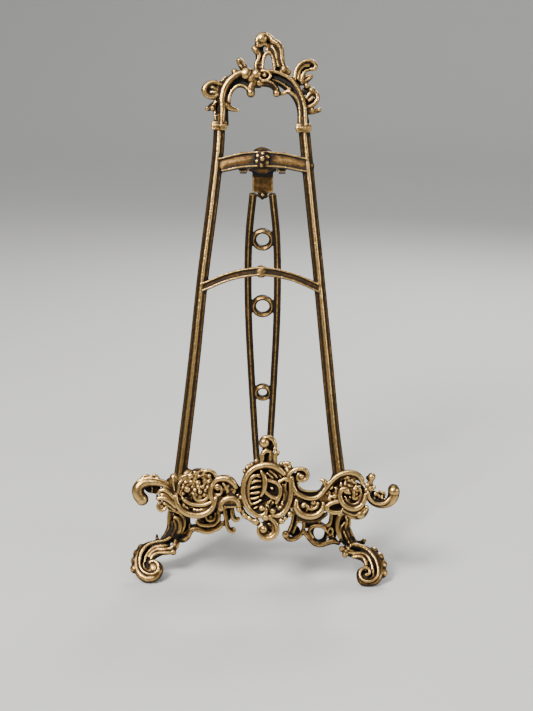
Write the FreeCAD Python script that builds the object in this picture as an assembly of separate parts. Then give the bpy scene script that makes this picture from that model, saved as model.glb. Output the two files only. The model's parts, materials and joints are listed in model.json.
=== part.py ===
import FreeCAD, Part
import math
import os
from FreeCAD import Placement, Rotation, Vector

# A folding display stand for one upright plate, cast in brass.
# +Z is up, the stand faces -Y, +X is to the right as it is looked at from the front.
# While it is built, y = 0 is the line where the two front feet touch the table.
# At the end every piece is moved together, so that the origin is the middle of the base.

# Driving dimensions in mm and degrees
LEAN = 15.0             # the back frame and the front rail lean back
FOOT_LEAN = 45.0        # the scroll feet kick forward from the legs
LEDGE_HEIGHT = 45.7     # height at which the two castings' own coordinates start
FRAME_SETBACK = 24.2    # front face of the back frame at that height
RAIL_SETBACK = -2.0     # front face of the front rail at that height
FOOT_SETBACK = 1.5      # middle plane of the scroll feet at table level
FOOT_DROP = 0.6         # how far the middle plane starts above the table
FRAME_THICK = 5.0
RAIL_THICK = 4.0
FOOT_THICK = 4.4
CENTRE_LINE = -3.2      # X of the crest's and the strut's centre line

STRUT_REACH = 95.0      # y of the rear strut's sole
STRUT_THICK = 4.0
HINGE_UP = 128.0        # the hinge pin, up the slope of the frame
HINGE_BEHIND = 9.5      # the hinge pin, behind the frame's front face
PIN_RADIUS = 1.25
PIN_RUN = 0.05          # radial running clearance of the knuckle on the pin
PIN_HEAD_RADIUS = 2.1
PIN_HEAD_THICK = 1.0
KNUCKLE_RADIUS = 3.2
KNUCKLE_HALF = 6.0
HINGE_WASHER_THICK = 0.6
SIDE_PLAY = 0.15
LUG_THICK = 3.0
LUG_RADIUS = 4.2
LUG_SINK = 1.0          # the ears start this far behind the frame's front face
NECK_LENGTH = 12.0      # solid top of the strut, under the knuckle
NECK_WIDTH = 9.0
STRUT_RINGS = ((34, 5.2, 2.8), (66, 5.4, 3.0), (110, 4.4, 2.0))  # below the pin, outer and inner radius
HEEL_WIDTH = 8.0
HEEL_TALL = 4.6
HEEL_UP = 0.8           # the heel starts this far above the pin
HEEL_PAST_PIN = 1.0     # and reaches this far behind it
STOP_GAP = 0.1          # the strut's heel stands this far off the frame when it is open

ARM_PLACES = {"left": -33.5, "right": 31.5}
ARM_WIDTH = 5.5
ARM_HEIGHT = 4.0
ARM_TOP = 1.4           # top of the ledge arms in the rail's own coordinates
TAB_THICK = 2.2
TAB_HEIGHT = 10.0
SCREW_RADIUS = 1.2
SCREW_DEPTH = 8.0
SCREW_HEAD_RADIUS = 2.4
SCREW_HEAD_THICK = 1.6
SLOT_WIDTH = 0.7
SLOT_DEPTH = 0.8
WASHER_RADIUS = 3.0
WASHER_THICK = 0.8
RIVET_RADIUS = 0.8
RIVET_HEAD_RADIUS = 1.2
RIVET_HEAD_THICK = 0.7
RIVET_SPREAD = 1.4      # each tab's two rivets stand this far either side of its middle
RIVET_HEIGHT = -5.8     # in the rail's own coordinates
RIVET_DEPTH = 2.4
APRON_RING = (22.3, -29.6, 2.3)  # the ring's opening, in the frame's own coordinates


class SlopedPlane:
    """A plane that contains the X direction. u runs along X and w runs up the slope.

    A shape is drawn flat as (u, w), given its thickness along the third direction,
    which points out of the front, and then laid on the slope.
    """

    def __init__(self, y, z, lean):
        self.placement = Placement(Vector(0, y, z), Rotation(Vector(1, 0, 0), 90.0 - lean))

    def lay(self, shape):
        placed = shape.copy()
        placed.Placement = self.placement.multiply(placed.Placement)
        return placed

    def point(self, u, w, front=0.0):
        return self.placement.multVec(Vector(u, w, front))


FRAME = SlopedPlane(FRAME_SETBACK, LEDGE_HEIGHT, LEAN)
RAIL = SlopedPlane(RAIL_SETBACK, LEDGE_HEIGHT, LEAN)
FOOT = SlopedPlane(FOOT_SETBACK, FOOT_DROP, FOOT_LEAN)

# Where the rail's own coordinates fall in the frame's
RAIL_FRONT = (FRAME_SETBACK - RAIL_SETBACK) * math.cos(math.radians(LEAN))
RAIL_SHIFT = -(FRAME_SETBACK - RAIL_SETBACK) * math.sin(math.radians(LEAN))

# The arm screws' height, and the ears' inner faces on both sides of the centre line
SCREW_UP = ARM_TOP + RAIL_SHIFT - ARM_HEIGHT / 2
LUG_INSIDE = KNUCKLE_HALF + HINGE_WASHER_THICK + 2 * SIDE_PLAY
ALONG_PIN = Vector(1, 0, 0)

HINGE = FRAME.point(0, HINGE_UP, -HINGE_BEHIND)
STRUT_LEAN = -math.degrees(math.atan2(STRUT_REACH - HINGE.y, HINGE.z))
STRUT = SlopedPlane(STRUT_REACH, 0.0, STRUT_LEAN)
STRUT_LENGTH = math.hypot(STRUT_REACH - HINGE.y, HINGE.z)


# Flat outlines ----------------------------------------------------------------

def smooth_tangents(points):
    """The direction of a smooth path at each of its points.

    At an inner point it is the tangent of the circle through that point and its two
    neighbours, and the end stretches are plain arcs.
    """
    chords = [b - a for a, b in zip(points, points[1:])]
    tangents = []
    for before, after in zip(chords, chords[1:]):
        along = before * (after.Length / before.Length) + after * (before.Length / after.Length)
        tangents.append(along.normalize())
    if not tangents:
        straight = Vector(chords[0]).normalize()
        return [straight, straight]
    first = Vector(chords[0]).normalize()
    last = Vector(chords[-1]).normalize()
    start = first * (2 * first.dot(tangents[0])) - tangents[0]
    end = last * (2 * last.dot(tangents[-1])) - tangents[-1]
    return [start] + tangents + [end]


def biarc_joint(a, b, leave, arrive):
    """The point where two tangent arcs from a to b meet."""
    chord = b - a
    both = leave + arrive
    spread = 2 * (1 - leave.dot(arrive))
    if spread < 1e-6:
        reach = chord.dot(chord) / (2 * chord.dot(both))
    else:
        along = chord.dot(both)
        reach = (math.sqrt(along * along + spread * chord.dot(chord)) - along) / spread
    return (a + b + (leave - arrive) * reach) * 0.5


def arc_chain(points):
    """Arcs as (start, start tangent, end, end tangent) along a smooth path."""
    tangents = smooth_tangents(points)
    arcs = []
    for a, b, leave, arrive in zip(points, points[1:], tangents, tangents[1:]):
        joint = biarc_joint(a, b, leave, arrive)
        chord = Vector(joint - a).normalize()
        turn = chord * (2 * chord.dot(leave)) - leave
        arcs.append((a, leave, joint, turn))
        arcs.append((joint, turn, b, arrive))
    return arcs


def left_of(direction):
    return Vector(-direction.y, direction.x, 0)


def offset_edge(arc, side):
    """One side of a band: the arc moved sideways by side."""
    a, leave, b, arrive = arc
    start = a + left_of(leave) * side
    end = b + left_of(arrive) * side
    bend = leave.x * arrive.y - leave.y * arrive.x
    if abs(bend) < 1e-4:
        return Part.LineSegment(start, end).toShape()
    chord = b - a
    rise = math.tan(math.atan2(bend, leave.dot(arrive)) / 4) * chord.Length / 2
    across = left_of(Vector(chord).normalize())
    middle = (a + b) * 0.5 - across * rise + across * side
    return Part.Arc(start, middle, end).toShape()


def band(half_width, *places):
    """A strip of even width with round ends along a smooth path through the places."""
    points = [Vector(u, w, 0) for u, w in places]
    arcs = arc_chain(points)
    left = [offset_edge(arc, half_width) for arc in arcs]
    right = [offset_edge(arc, -half_width) for arc in reversed(arcs)]
    end, end_way = arcs[-1][2], arcs[-1][3]
    start, start_way = arcs[0][0], arcs[0][1]
    end_side = left_of(end_way) * half_width
    start_side = left_of(start_way) * half_width
    end_cap = Part.Arc(end + end_side, end + end_way * half_width, end - end_side).toShape()
    start_cap = Part.Arc(start - start_side, start - start_way * half_width, start + start_side)
    wire = Part.Wire(left + [end_cap] + right + [start_cap.toShape()])
    face = Part.Face(wire)
    if not face.isValid():
        raise ValueError(f"band through {places} crosses itself")
    return face


def disc(u, w, radius):
    circle = Part.Circle(Vector(u, w, 0), Vector(0, 0, 1), radius)
    return Part.Face(Part.Wire(circle.toShape()))


def discs(*circles):
    return [disc(u, w, radius) for u, w, radius in circles]


def plate(faces, front, back, holes=()):
    """One casting's flat body: its outlines joined, pierced and given their thickness."""
    joined = faces[0].multiFuse(faces[1:])
    if holes:
        joined = joined.cut(Part.makeCompound(list(holes)))
    facing_out = [face if face.normalAt(0, 0).z > 0 else face.reversed() for face in joined.Faces]
    joined = Part.Shell(facing_out).removeSplitter()
    if len(joined.Faces) != 1:
        raise ValueError(f"outline falls into {len(joined.Faces)} pieces")
    flat = joined.Faces[0].copy()
    flat.translate(Vector(0, 0, front))
    return flat.extrude(Vector(0, 0, back - front))


def block(u, w, front, size_u, size_w, size_front):
    """A block that is centred on u, and starts at w and front."""
    return Part.makeBox(size_u, size_w, size_front, Vector(u - size_u / 2, w, front))


def one_solid(shape):
    solids = shape.removeSplitter().Solids
    if len(solids) != 1:
        raise ValueError(f"{len(solids)} solids where one was meant")
    return solids[0]


def above_table(shape):
    """The shape without what lies under z = 0, so that it stands flat."""
    reach = 200.0
    under = Part.makeBox(2 * reach, 2 * reach, reach, Vector(-reach, -reach, -reach))
    return one_solid(shape.cut(under))


# Back frame -------------------------------------------------------------------

def crest_outlines():
    """The pierced arch at the top, with its hooded finial and side scrolls."""
    arch = [
        band(2.2, (-21.2, 146), (-21.6, 151), (-21, 156), (-18.6, 160.2), (-14.8, 162.8),
             (-10.5, 164.2), (-6, 164.4)),
        band(2.2, (-8, 164.3), (-1, 163.6), (4, 161.6), (8.6, 158.6), (11.9, 154.6), (13.8, 150),
             (14.2, 145)),
        band(1.0, (-17.6, 150.5), (-17.9, 154.5), (-15.6, 157.6), (-12.4, 158.8), (-9.6, 157.6)),
        band(1.3, (-8.3, 156.2), (-8.5, 160), (-8.8, 163)),
        band(1.3, (-8, 157.8), (-3.6, 159), (0.6, 157.8), (2.3, 155.9)),
        band(1.1, (2.8, 155.4), (6.5, 155.2), (10.6, 154.6)),
    ]
    finial = [
        band(2.0, (-5.4, 165), (-5.3, 169), (-4.6, 172.5), (-3.4, 175.5)),
        band(2.0, (2.5, 163), (2.7, 167), (2.6, 171), (1.6, 175)),
        band(2.0, (-4.2, 176.4), (-1.4, 177.6), (1.2, 176.4), (2.2, 173.6)),
        band(1.0, (-6.6, 174), (-4.4, 173)),
    ]
    side_scrolls = [
        band(1.4, (-10.8, 165), (-12, 167.4), (-12.8, 168.6)),
        band(1.8, (-25, 158.2), (-21.6, 158.6)),
        band(1.3, (-26.2, 148.4), (-24.6, 149.6), (-22.4, 150)),
        band(1.4, (10.4, 158.5), (11, 163), (12.9, 166.4), (15.8, 167.8), (17.6, 166.6)),
        band(1.1, (11.2, 160.5), (13.6, 162.4), (16.4, 163.2)),
        band(1.3, (14.6, 150), (17, 152), (18, 154.6), (16.6, 156.4)),
        band(1.0, (14.6, 148), (17.5, 148.4), (20, 148.4)),
    ]
    bosses = discs(
        (-8.3, 155.3, 2.1), (2.4, 155.8, 1.6), (-6, 161, 3.0),
        (-10.2, 164.6, 2.2), (-6.3, 164.6, 2.4), (-3.3, 162.2, 2.3), (-15.6, 164.2, 1.3),
        (-2.9, 177.7, 3.0), (-6.8, 174.1, 1.4), (4.6, 165.6, 2.0),
        (-25.4, 157, 3.2), (17.2, 166.8, 1.7), (13.6, 157.6, 1.5),
    )
    return arch + finial + side_scrolls + bosses


def upright_outlines():
    """Two uprights that spread downward, the hinge bar and one arched cross bar."""
    left = [(-21.2, 147), (-22, 134), (-24.4, 110), (-28.2, 78),
            (-31.4, 44), (-34.6, 14), (-37.2, -8), (-39, -20)]
    right = [(14.2, 146), (15.2, 134), (17.8, 110), (21.4, 78),
             (25, 44), (28.2, 14), (31, -8), (32.6, -21)]
    return [
        band(2.6, *left),
        band(2.6, *right),
        band(3.2, (-21, 126), (-12, 128), (CENTRE_LINE, 128.6), (6, 128), (16, 126)),
        band(1.8, (-28.4, 74), (-16, 79), (CENTRE_LINE, 81), (9.5, 79), (21.8, 74)),
        disc(ARM_PLACES["left"] - 1, SCREW_UP, 4.5),
        disc(ARM_PLACES["right"], SCREW_UP, 4.5),
        band(6.0, (CENTRE_LINE - 5.5, 128.5), (CENTRE_LINE + 5.5, 128.5)),
    ]


def apron_outlines():
    """The scrollwork bar between the legs, with what hangs from it."""
    bar = [band(3.4, (-38, -14), (-20, -16), (-3, -15.6), (14, -16.4), (32, -14))]
    left = [
        band(2.0, (-34.2, -18), (-34, -24), (-34.8, -29.5)),
        band(1.6, (-28.6, -18), (-28.6, -24), (-30.4, -27.6)),
        band(1.1, (-38, -32.4), (-35.8, -32.8), (-33.6, -31.8), (-32, -29.6), (-29.6, -28),
             (-26.6, -28.2), (-23.6, -28.4), (-21, -27.4), (-19, -25.6)),
        band(1.3, (-19.6, -18), (-19, -22), (-19.4, -25.4)),
        band(0.9, (-17, -18), (-17.1, -23.5), (-16.6, -26.8), (-15.2, -28.4), (-13.7, -28.6)),
        band(0.9, (-14.6, -18), (-14.4, -21.5), (-13.7, -23.4), (-12.5, -24)),
    ]
    right = [
        band(1.3, (12.4, -18), (12.3, -23), (11.4, -26.6)),
        band(1.3, (15.8, -18), (16, -25), (15, -29.2), (12.2, -31.8), (9.4, -32), (7.9, -30)),
        band(2.2, (19.5, -19), (19.2, -23), (20, -26)),
        band(2.0, (27.6, -19), (27.8, -24), (27.4, -30)),
        band(1.3, (24, -33.3), (27.5, -33), (31.5, -33.4)),
    ]
    ring_u, ring_w, _ = APRON_RING
    bosses = discs((-24.2, -24, 3.8), (9, -29.8, 1.7), (ring_u, ring_w, 5.0), (18, -30, 2.0))
    return bar + left + right + bosses


def leg_outlines():
    return [
        band(2.6, (-38.6, -16), (-37.4, -24), (-37.6, -28), (-39.4, -31), (-42, -33)),
        band(1.6, (-40.2, -16), (-40.4, -24), (-41, -28), (-42.6, -31.6)),
        band(2.0, (32.2, -17), (31.2, -24), (31.4, -28), (32.8, -31.4), (35.4, -33.6)),
        band(1.6, (34, -17), (34, -25), (34.8, -29.5), (36.8, -32.8)),
    ]


def foot_outlines(side):
    """One scroll foot, in the feet's own plane."""
    if side == "left":
        return [
            band(1.7, (-39.5, 19.6), (-42.5, 18.8), (-47, 17.6), (-51, 15.2), (-53.2, 12), (-54, 8.5),
                 (-53, 5), (-50.6, 2.7), (-47.6, 1.9), (-44.9, 3.2), (-43.9, 6)),
            band(2.4, (-43, 18), (-40.4, 22), (-38.8, 26)),
            band(2.0, (-40.2, 14.4), (-43.5, 14.6), (-47.5, 13.6), (-50, 11)),
            band(1.6, (-40, 16.9), (-46, 16), (-50, 13)),
            band(0.8, (-46.2, 21), (-46, 18)),
        ] + discs((-48.2, 6.8, 5.5), (-38.8, 13.5, 1.3), (-38.6, 16.8, 1.6), (-53.2, 14.6, 1.8),
                  (-55, 10.4, 1.7), (-55.1, 6, 1.5))
    return [
        band(1.8, (33.4, 19), (37.5, 17.7), (41.5, 16.2), (44.6, 13.4), (46.4, 9.6), (46.5, 5.8),
             (44.8, 3.1), (42, 2.0), (39.4, 3.1), (38.6, 5.8)),
        band(2.4, (37.2, 17.6), (34.8, 21.6), (33, 26)),
        band(2.2, (33.4, 14.6), (37, 13.8), (40.6, 12.6), (43, 9.6)),
        band(1.6, (34.6, 16.2), (40, 15), (43.6, 12.4)),
        band(0.8, (38.6, 19.2), (40.8, 19.4)),
    ] + discs((42.3, 5.8, 5.0), (32, 15.8, 1.4), (33.1, 13, 1.4), (41.2, 19.5, 1.1), (45.6, 15.2, 2.0),
              (48.2, 11.4, 2.0), (49.3, 6.6, 1.9))


def hinge_lug(side):
    """One ear on the back of the hinge bar, with the pin's hole."""
    low_u = CENTRE_LINE + LUG_INSIDE if side > 0 else CENTRE_LINE - LUG_INSIDE - LUG_THICK
    eye_start = Vector(low_u, HINGE_UP, -HINGE_BEHIND)
    web_start = Vector(low_u, HINGE_UP - LUG_RADIUS, -HINGE_BEHIND)
    eye = Part.makeCylinder(LUG_RADIUS, LUG_THICK, eye_start, ALONG_PIN)
    web = Part.makeBox(LUG_THICK, 2 * LUG_RADIUS, HINGE_BEHIND - LUG_SINK, web_start)
    hole = Part.makeCylinder(PIN_RADIUS, LUG_THICK, eye_start, ALONG_PIN)
    return eye.fuse(web).cut(hole)


def back_frame():
    faces = crest_outlines() + upright_outlines() + apron_outlines() + leg_outlines()
    holes = [disc(u, SCREW_UP, SCREW_RADIUS) for u in ARM_PLACES.values()]
    holes.append(disc(*APRON_RING))
    body = FRAME.lay(plate(faces, 0.0, -FRAME_THICK, holes))
    lugs = [FRAME.lay(hinge_lug(side)) for side in (-1, 1)]
    feet = []
    for side in ("left", "right"):
        feet.append(FOOT.lay(plate(foot_outlines(side), FOOT_THICK / 2, -FOOT_THICK / 2)))
    return above_table(body.multiFuse(lugs + feet))


# Front rail -------------------------------------------------------------------

def rail_outlines():
    """The pierced rail in front of the plate, from its left end to its right end."""
    left_end = [
        band(2.0, (-49.4, -5.6), (-51.4, -3), (-50.4, -0.4), (-47.6, 0.6)),
        band(1.4, (-49, 0.4), (-46, 0.9), (-42.6, 0.3), (-39.4, -1.2), (-36.8, -3.4), (-35.2, -5.8)),
        band(0.9, (-43.2, -4.4), (-40.3, -3), (-37.7, -4.2), (-35.8, -6.4)),
        band(1.0, (-42.4, -6), (-40, -6), (-37.4, -7.2), (-35.4, -9.2)),
        band(1.5, (-41, -8.3), (-38.5, -7.8), (-36, -8.8)),
        band(1.5, (-36.2, 2.8), (-36, 0.5), (-35, -2.5)),
    ]
    basket = [
        band(1.6, (-35.5, -4.5), (-34.4, -8.2), (-31.4, -10.8), (-27.4, -11.5), (-23.4, -10.6),
             (-20.8, -8.2), (-20.1, -5)),
    ]
    c_scroll = [
        band(1.3, (-19.6, -6.6), (-21.5, -3.4), (-21.2, 0), (-18.9, 2.3), (-15.6, 2.6), (-12.9, 1.1),
             (-12.1, -1.6), (-13, -4)),
        band(1.0, (-20.6, -1.6), (-18.9, 0.2), (-17.4, -1.2), (-17.7, -3.8), (-19, -6.4)),
        band(1.6, (-12.4, 0.5), (-12.4, -2.4), (-14.4, -4.2)),
        band(1.5, (-12.5, -3), (-9.4, -3.5)),
    ]
    arch = [band(1.1, (-18, -8.6), (-16.7, -6.1), (-13.9, -5.2), (-11.2, -6.3), (-10.1, -9))]
    finial = [band(1.9, (0.6, 7), (0.5, 12), (0.7, 15))]
    swag = [
        band(1.1, (8.6, 3.4), (11, 4.6), (12.6, 6.2)),
        band(1.3, (10, 3), (11, -0.5), (13.5, -2.8), (17.2, -4), (20.9, -3.6), (23.6, -1.4), (25.1, 1.6)),
        band(0.9, (22.2, 2.8), (22.9, 0.8), (23.8, -1.2)),
        band(1.4, (13, -6.6), (13.1, -9.2), (14.9, -11.2), (18, -12), (21, -11), (22.4, -8.8),
             (22.3, -6.2)),
        band(1.2, (12.6, 2.8), (11.6, 0.2)),
        band(2.0, (9, -7.6), (13.2, -7.6)),
    ]
    big_scroll = [
        band(1.3, (24.2, -3.4), (25.4, 0.6), (28, 3.5), (31.5, 4.9), (35, 4.8), (37.5, 3), (38.4, 0.6)),
        band(1.9, (32.4, -9.8), (35.4, -10.6), (38.5, -9.4)),
    ]
    right_end = [
        band(1.1, (42, 3.4), (41.7, 0.8), (41.2, -1.6)),
        band(1.5, (41.6, -1.6), (42.6, -4.6), (45.3, -6.2), (48.4, -6), (50.6, -4.1), (51, -1.6)),
    ]
    pendant = [
        band(0.9, (-9.6, -9.6), (-8.4, -11.8), (-5.8, -13.6), (-2.6, -15.2)),
        band(0.8, (9.8, -9.6), (8.2, -12.6), (5, -14.6), (3, -15.6)),
        band(2.0, (0.4, -10), (0.8, -14)),
    ]
    return left_end + basket + c_scroll + arch + finial + swag + big_scroll + right_end + pendant


def rail_bosses():
    return discs(
        (-49.3, -5.8, 2.6), (-47.2, 2.8, 1.3), (-44.6, 2.6, 1.3), (-41.2, -8.7, 2.0),
        (-27.6, -3.6, 7.2), (-28.6, 4, 1.8), (-25.8, 4.6, 1.8), (-22.8, 4.2, 2.1),
        (-18, -9, 1.3), (-10.1, -9.3, 1.4), (-3.9, -14.8, 1.5),
        (0.4, -1.6, 10.4), (0.7, 16.5, 3.3), (4, 13.6, 1.4),
        (-8.2, 6.2, 1.4), (-6.1, 8, 1.5), (-3.8, 9.4, 1.4), (6.4, 8.3, 1.5), (8.6, 7.4, 1.6),
        (14.3, 4.6, 2.7), (17.8, -7.9, 4.5), (27.4, -6.2, 3.8), (30.8, -0.4, 4.4), (35.3, -3.3, 5.5),
        (37.8, -10.4, 2.2), (42.2, 3.9, 1.6), (41.5, -0.6, 1.9), (46, -4.3, 1.7), (50.7, -1.9, 2.4),
        (7.6, -13.2, 1.2), (0.9, -17.6, 4.2),
    )


def front_rail():
    body = plate(rail_outlines() + rail_bosses(), 0.0, -RAIL_THICK)
    for place in ARM_PLACES.values():
        for side in (-1, 1):
            seat = Vector(place + side * RIVET_SPREAD, RIVET_HEIGHT, -RAIL_THICK)
            body = body.cut(Part.makeCylinder(RIVET_RADIUS, RIVET_DEPTH, seat))
    return one_solid(RAIL.lay(body))


# Ledge arms and what holds them -------------------------------------------------

def ledge_arm(place):
    """A bar from the upright to the rail, with a tab turned down behind the rail."""
    bar_low = ARM_TOP + RAIL_SHIFT - ARM_HEIGHT
    reach = RAIL_FRONT - RAIL_THICK
    bar = block(place, bar_low, 0.0, ARM_WIDTH, ARM_HEIGHT, reach)
    tab_low = ARM_TOP + RAIL_SHIFT - TAB_HEIGHT
    tab = block(place, tab_low, reach - TAB_THICK, ARM_WIDTH, TAB_HEIGHT, TAB_THICK)
    screw_hole = Part.makeCylinder(SCREW_RADIUS, SCREW_DEPTH, Vector(place, SCREW_UP, 0))
    arm = bar.fuse(tab).cut(screw_hole)
    for side in (-1, 1):
        seat = Vector(place + side * RIVET_SPREAD, RIVET_HEIGHT + RAIL_SHIFT, reach - TAB_THICK)
        arm = arm.cut(Part.makeCylinder(RIVET_RADIUS, TAB_THICK, seat))
    return one_solid(FRAME.lay(arm))


def arm_screw(place):
    """A slotted screw through the upright into the arm, its head behind the frame."""
    under_head = -FRAME_THICK - WASHER_THICK
    back = under_head - SCREW_HEAD_THICK
    shank = Part.makeCylinder(SCREW_RADIUS, SCREW_DEPTH - under_head, Vector(place, SCREW_UP, under_head))
    head = Part.makeCylinder(SCREW_HEAD_RADIUS, SCREW_HEAD_THICK, Vector(place, SCREW_UP, back))
    slot = block(place, SCREW_UP - SCREW_HEAD_RADIUS, back, SLOT_WIDTH, 2 * SCREW_HEAD_RADIUS, SLOT_DEPTH)
    return FRAME.lay(one_solid(head.fuse(shank).cut(slot)))


def arm_washer(place):
    seat = Vector(place, SCREW_UP, -FRAME_THICK - WASHER_THICK)
    outside = Part.makeCylinder(WASHER_RADIUS, WASHER_THICK, seat)
    return FRAME.lay(outside.cut(Part.makeCylinder(SCREW_RADIUS, WASHER_THICK, seat)))


def rail_rivets():
    """Four rivets, two through each arm's tab into the back of the rail."""
    under_head = -RAIL_THICK - TAB_THICK
    length = TAB_THICK + RIVET_DEPTH
    rivets = []
    for place in ARM_PLACES.values():
        for side in (-1, 1):
            seat = Vector(place + side * RIVET_SPREAD, RIVET_HEIGHT, under_head)
            head_seat = seat - Vector(0, 0, RIVET_HEAD_THICK)
            shank = Part.makeCylinder(RIVET_RADIUS, length, seat)
            head = Part.makeCylinder(RIVET_HEAD_RADIUS, RIVET_HEAD_THICK, head_seat)
            rivets.append(RAIL.lay(one_solid(head.fuse(shank))))
    return Part.makeCompound(rivets)


# Rear strut and its hinge -------------------------------------------------------

def strut_outlines():
    """Two bars that close towards a scroll foot, with rings between them, seen square to the strut."""
    half = [(-4.2, -13), (-6.2, -34), (-6.6, -66), (-5.2, -104), (-3.6, -136), (-2.2, -158)]
    faces = []
    for side in (-1, 1):
        bar = [(CENTRE_LINE - side * u, STRUT_LENGTH + w) for u, w in half]
        faces.append(band(1.7, *bar))
        faces.append(disc(CENTRE_LINE + side * 4.4, 3.0, 3.4))
        faces.append(band(1.6, (CENTRE_LINE + side * 2, 11), (CENTRE_LINE + side * 5, 7.5)))
    neck = STRUT_LENGTH - NECK_LENGTH
    faces.append(band(4.4, (CENTRE_LINE - 1, neck), (CENTRE_LINE + 1, neck)))
    for below_pin, outer, _ in STRUT_RINGS:
        faces.append(disc(CENTRE_LINE, STRUT_LENGTH - below_pin, outer))
    faces.append(disc(CENTRE_LINE, 7, 4.2))
    return faces


def strut_holes():
    return [disc(CENTRE_LINE, STRUT_LENGTH - below_pin, inner) for below_pin, _, inner in STRUT_RINGS]


def rear_strut():
    """The pierced strut, with the knuckle at its top and the heel that stops it against the frame."""
    body = STRUT.lay(plate(strut_outlines(), STRUT_THICK / 2, -STRUT_THICK / 2, strut_holes()))
    neck_low = STRUT_LENGTH - NECK_LENGTH
    neck = block(CENTRE_LINE, neck_low, -STRUT_THICK / 2, NECK_WIDTH, NECK_LENGTH, STRUT_THICK)
    start = Vector(CENTRE_LINE - KNUCKLE_HALF, HINGE_UP, -HINGE_BEHIND)
    knuckle = Part.makeCylinder(KNUCKLE_RADIUS, 2 * KNUCKLE_HALF, start, ALONG_PIN)
    bore = Part.makeCylinder(PIN_RADIUS + PIN_RUN, 2 * KNUCKLE_HALF, start, ALONG_PIN)
    heel_back = HINGE_BEHIND + HEEL_PAST_PIN
    heel_deep = heel_back - FRAME_THICK - STOP_GAP
    heel = block(CENTRE_LINE, HINGE_UP + HEEL_UP, -heel_back, HEEL_WIDTH, HEEL_TALL, heel_deep)
    whole = body.multiFuse([STRUT.lay(neck), FRAME.lay(knuckle), FRAME.lay(heel)])
    return above_table(whole.cut(FRAME.lay(bore)))


def hinge_pin():
    """The pin through both ears, with its ends hammered over."""
    ear_outside = LUG_INSIDE + LUG_THICK
    start = Vector(CENTRE_LINE - ear_outside, HINGE_UP, -HINGE_BEHIND)
    left_start = start - ALONG_PIN * PIN_HEAD_THICK
    right_start = start + ALONG_PIN * (2 * ear_outside)
    shank = Part.makeCylinder(PIN_RADIUS, 2 * ear_outside, start, ALONG_PIN)
    left = Part.makeCylinder(PIN_HEAD_RADIUS, PIN_HEAD_THICK, left_start, ALONG_PIN)
    right = Part.makeCylinder(PIN_HEAD_RADIUS, PIN_HEAD_THICK, right_start, ALONG_PIN)
    return FRAME.lay(one_solid(shank.multiFuse([left, right])))


def hinge_washers():
    washers = []
    for low_u in (-KNUCKLE_HALF - SIDE_PLAY - HINGE_WASHER_THICK, KNUCKLE_HALF + SIDE_PLAY):
        seat = Vector(CENTRE_LINE + low_u, HINGE_UP, -HINGE_BEHIND)
        outside = Part.makeCylinder(KNUCKLE_RADIUS, HINGE_WASHER_THICK, seat, ALONG_PIN)
        hole = Part.makeCylinder(PIN_RADIUS + PIN_RUN, HINGE_WASHER_THICK, seat, ALONG_PIN)
        washers.append(FRAME.lay(outside.cut(hole)))
    return Part.makeCompound(washers)


# The whole stand ----------------------------------------------------------------

pieces = {
    "back_frame": back_frame(),
    "front_rail": front_rail(),
    "ledge_arm_left": ledge_arm(ARM_PLACES["left"]),
    "ledge_arm_right": ledge_arm(ARM_PLACES["right"]),
    "arm_screws": Part.makeCompound([arm_screw(place) for place in ARM_PLACES.values()]),
    "arm_washers": Part.makeCompound([arm_washer(place) for place in ARM_PLACES.values()]),
    "rail_rivets": rail_rivets(),
    "rear_strut": rear_strut(),
    "hinge_pin": hinge_pin(),
    "hinge_washers": hinge_washers(),
}

box = Part.makeCompound(list(pieces.values())).optimalBoundingBox(False, False)
to_origin = Vector(-box.Center.x, -box.Center.y, -box.ZMin)

os.makedirs("parts", exist_ok=True)
for name, shape in pieces.items():
    shape.translate(to_origin)
    if not shape.isValid():
        raise ValueError(f"{name} is not a valid solid")
    shape.exportStep(f"parts/{name}.step")
    print(f"{name}: {len(shape.Solids)} solids, {shape.Volume:.0f} mm3")

print(f"size {box.XLength:.2f} x {box.YLength:.2f} x {box.ZLength:.2f} mm")
print(f"moved by {to_origin.x:.3f}, {to_origin.y:.3f}, {to_origin.z:.3f}")
hinge = HINGE + to_origin
print(f"hinge axis at y {hinge.y:.3f}, z {hinge.z:.3f}, strut leans {STRUT_LEAN:.2f} degrees")
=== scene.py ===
# %% [markdown]
# # A folding brass plate stand
# The real stand is two brass castings full of scrollwork, a hinged strut and a few turned or
# filed pieces. The CAD model holds their sizes and joints as plain pierced plates. This lesson
# puts the castings' relief on those plates, and a dark patina that is rubbed bright on the ridges.
# %% The frame that everything is placed on
import bpy
import json
import math
import numpy as np
from mathutils import Matrix, Vector


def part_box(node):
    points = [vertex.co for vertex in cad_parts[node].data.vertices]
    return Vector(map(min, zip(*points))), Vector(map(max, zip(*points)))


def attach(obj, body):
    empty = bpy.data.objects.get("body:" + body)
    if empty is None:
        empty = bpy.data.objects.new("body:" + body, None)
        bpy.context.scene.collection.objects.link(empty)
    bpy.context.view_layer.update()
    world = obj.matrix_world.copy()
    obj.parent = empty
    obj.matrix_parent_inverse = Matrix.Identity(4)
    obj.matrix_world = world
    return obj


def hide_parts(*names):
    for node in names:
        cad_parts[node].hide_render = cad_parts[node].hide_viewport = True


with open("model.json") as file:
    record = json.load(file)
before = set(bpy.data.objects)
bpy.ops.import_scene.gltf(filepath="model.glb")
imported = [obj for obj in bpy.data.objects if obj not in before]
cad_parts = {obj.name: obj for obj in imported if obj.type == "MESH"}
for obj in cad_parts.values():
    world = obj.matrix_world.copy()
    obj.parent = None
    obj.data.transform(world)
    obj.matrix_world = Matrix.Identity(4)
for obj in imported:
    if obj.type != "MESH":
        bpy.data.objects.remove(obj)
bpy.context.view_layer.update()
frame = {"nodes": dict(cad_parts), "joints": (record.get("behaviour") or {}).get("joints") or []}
hinge = frame["joints"][0]["pos_m"]
print("nodes:", sorted(frame["nodes"]))

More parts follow.
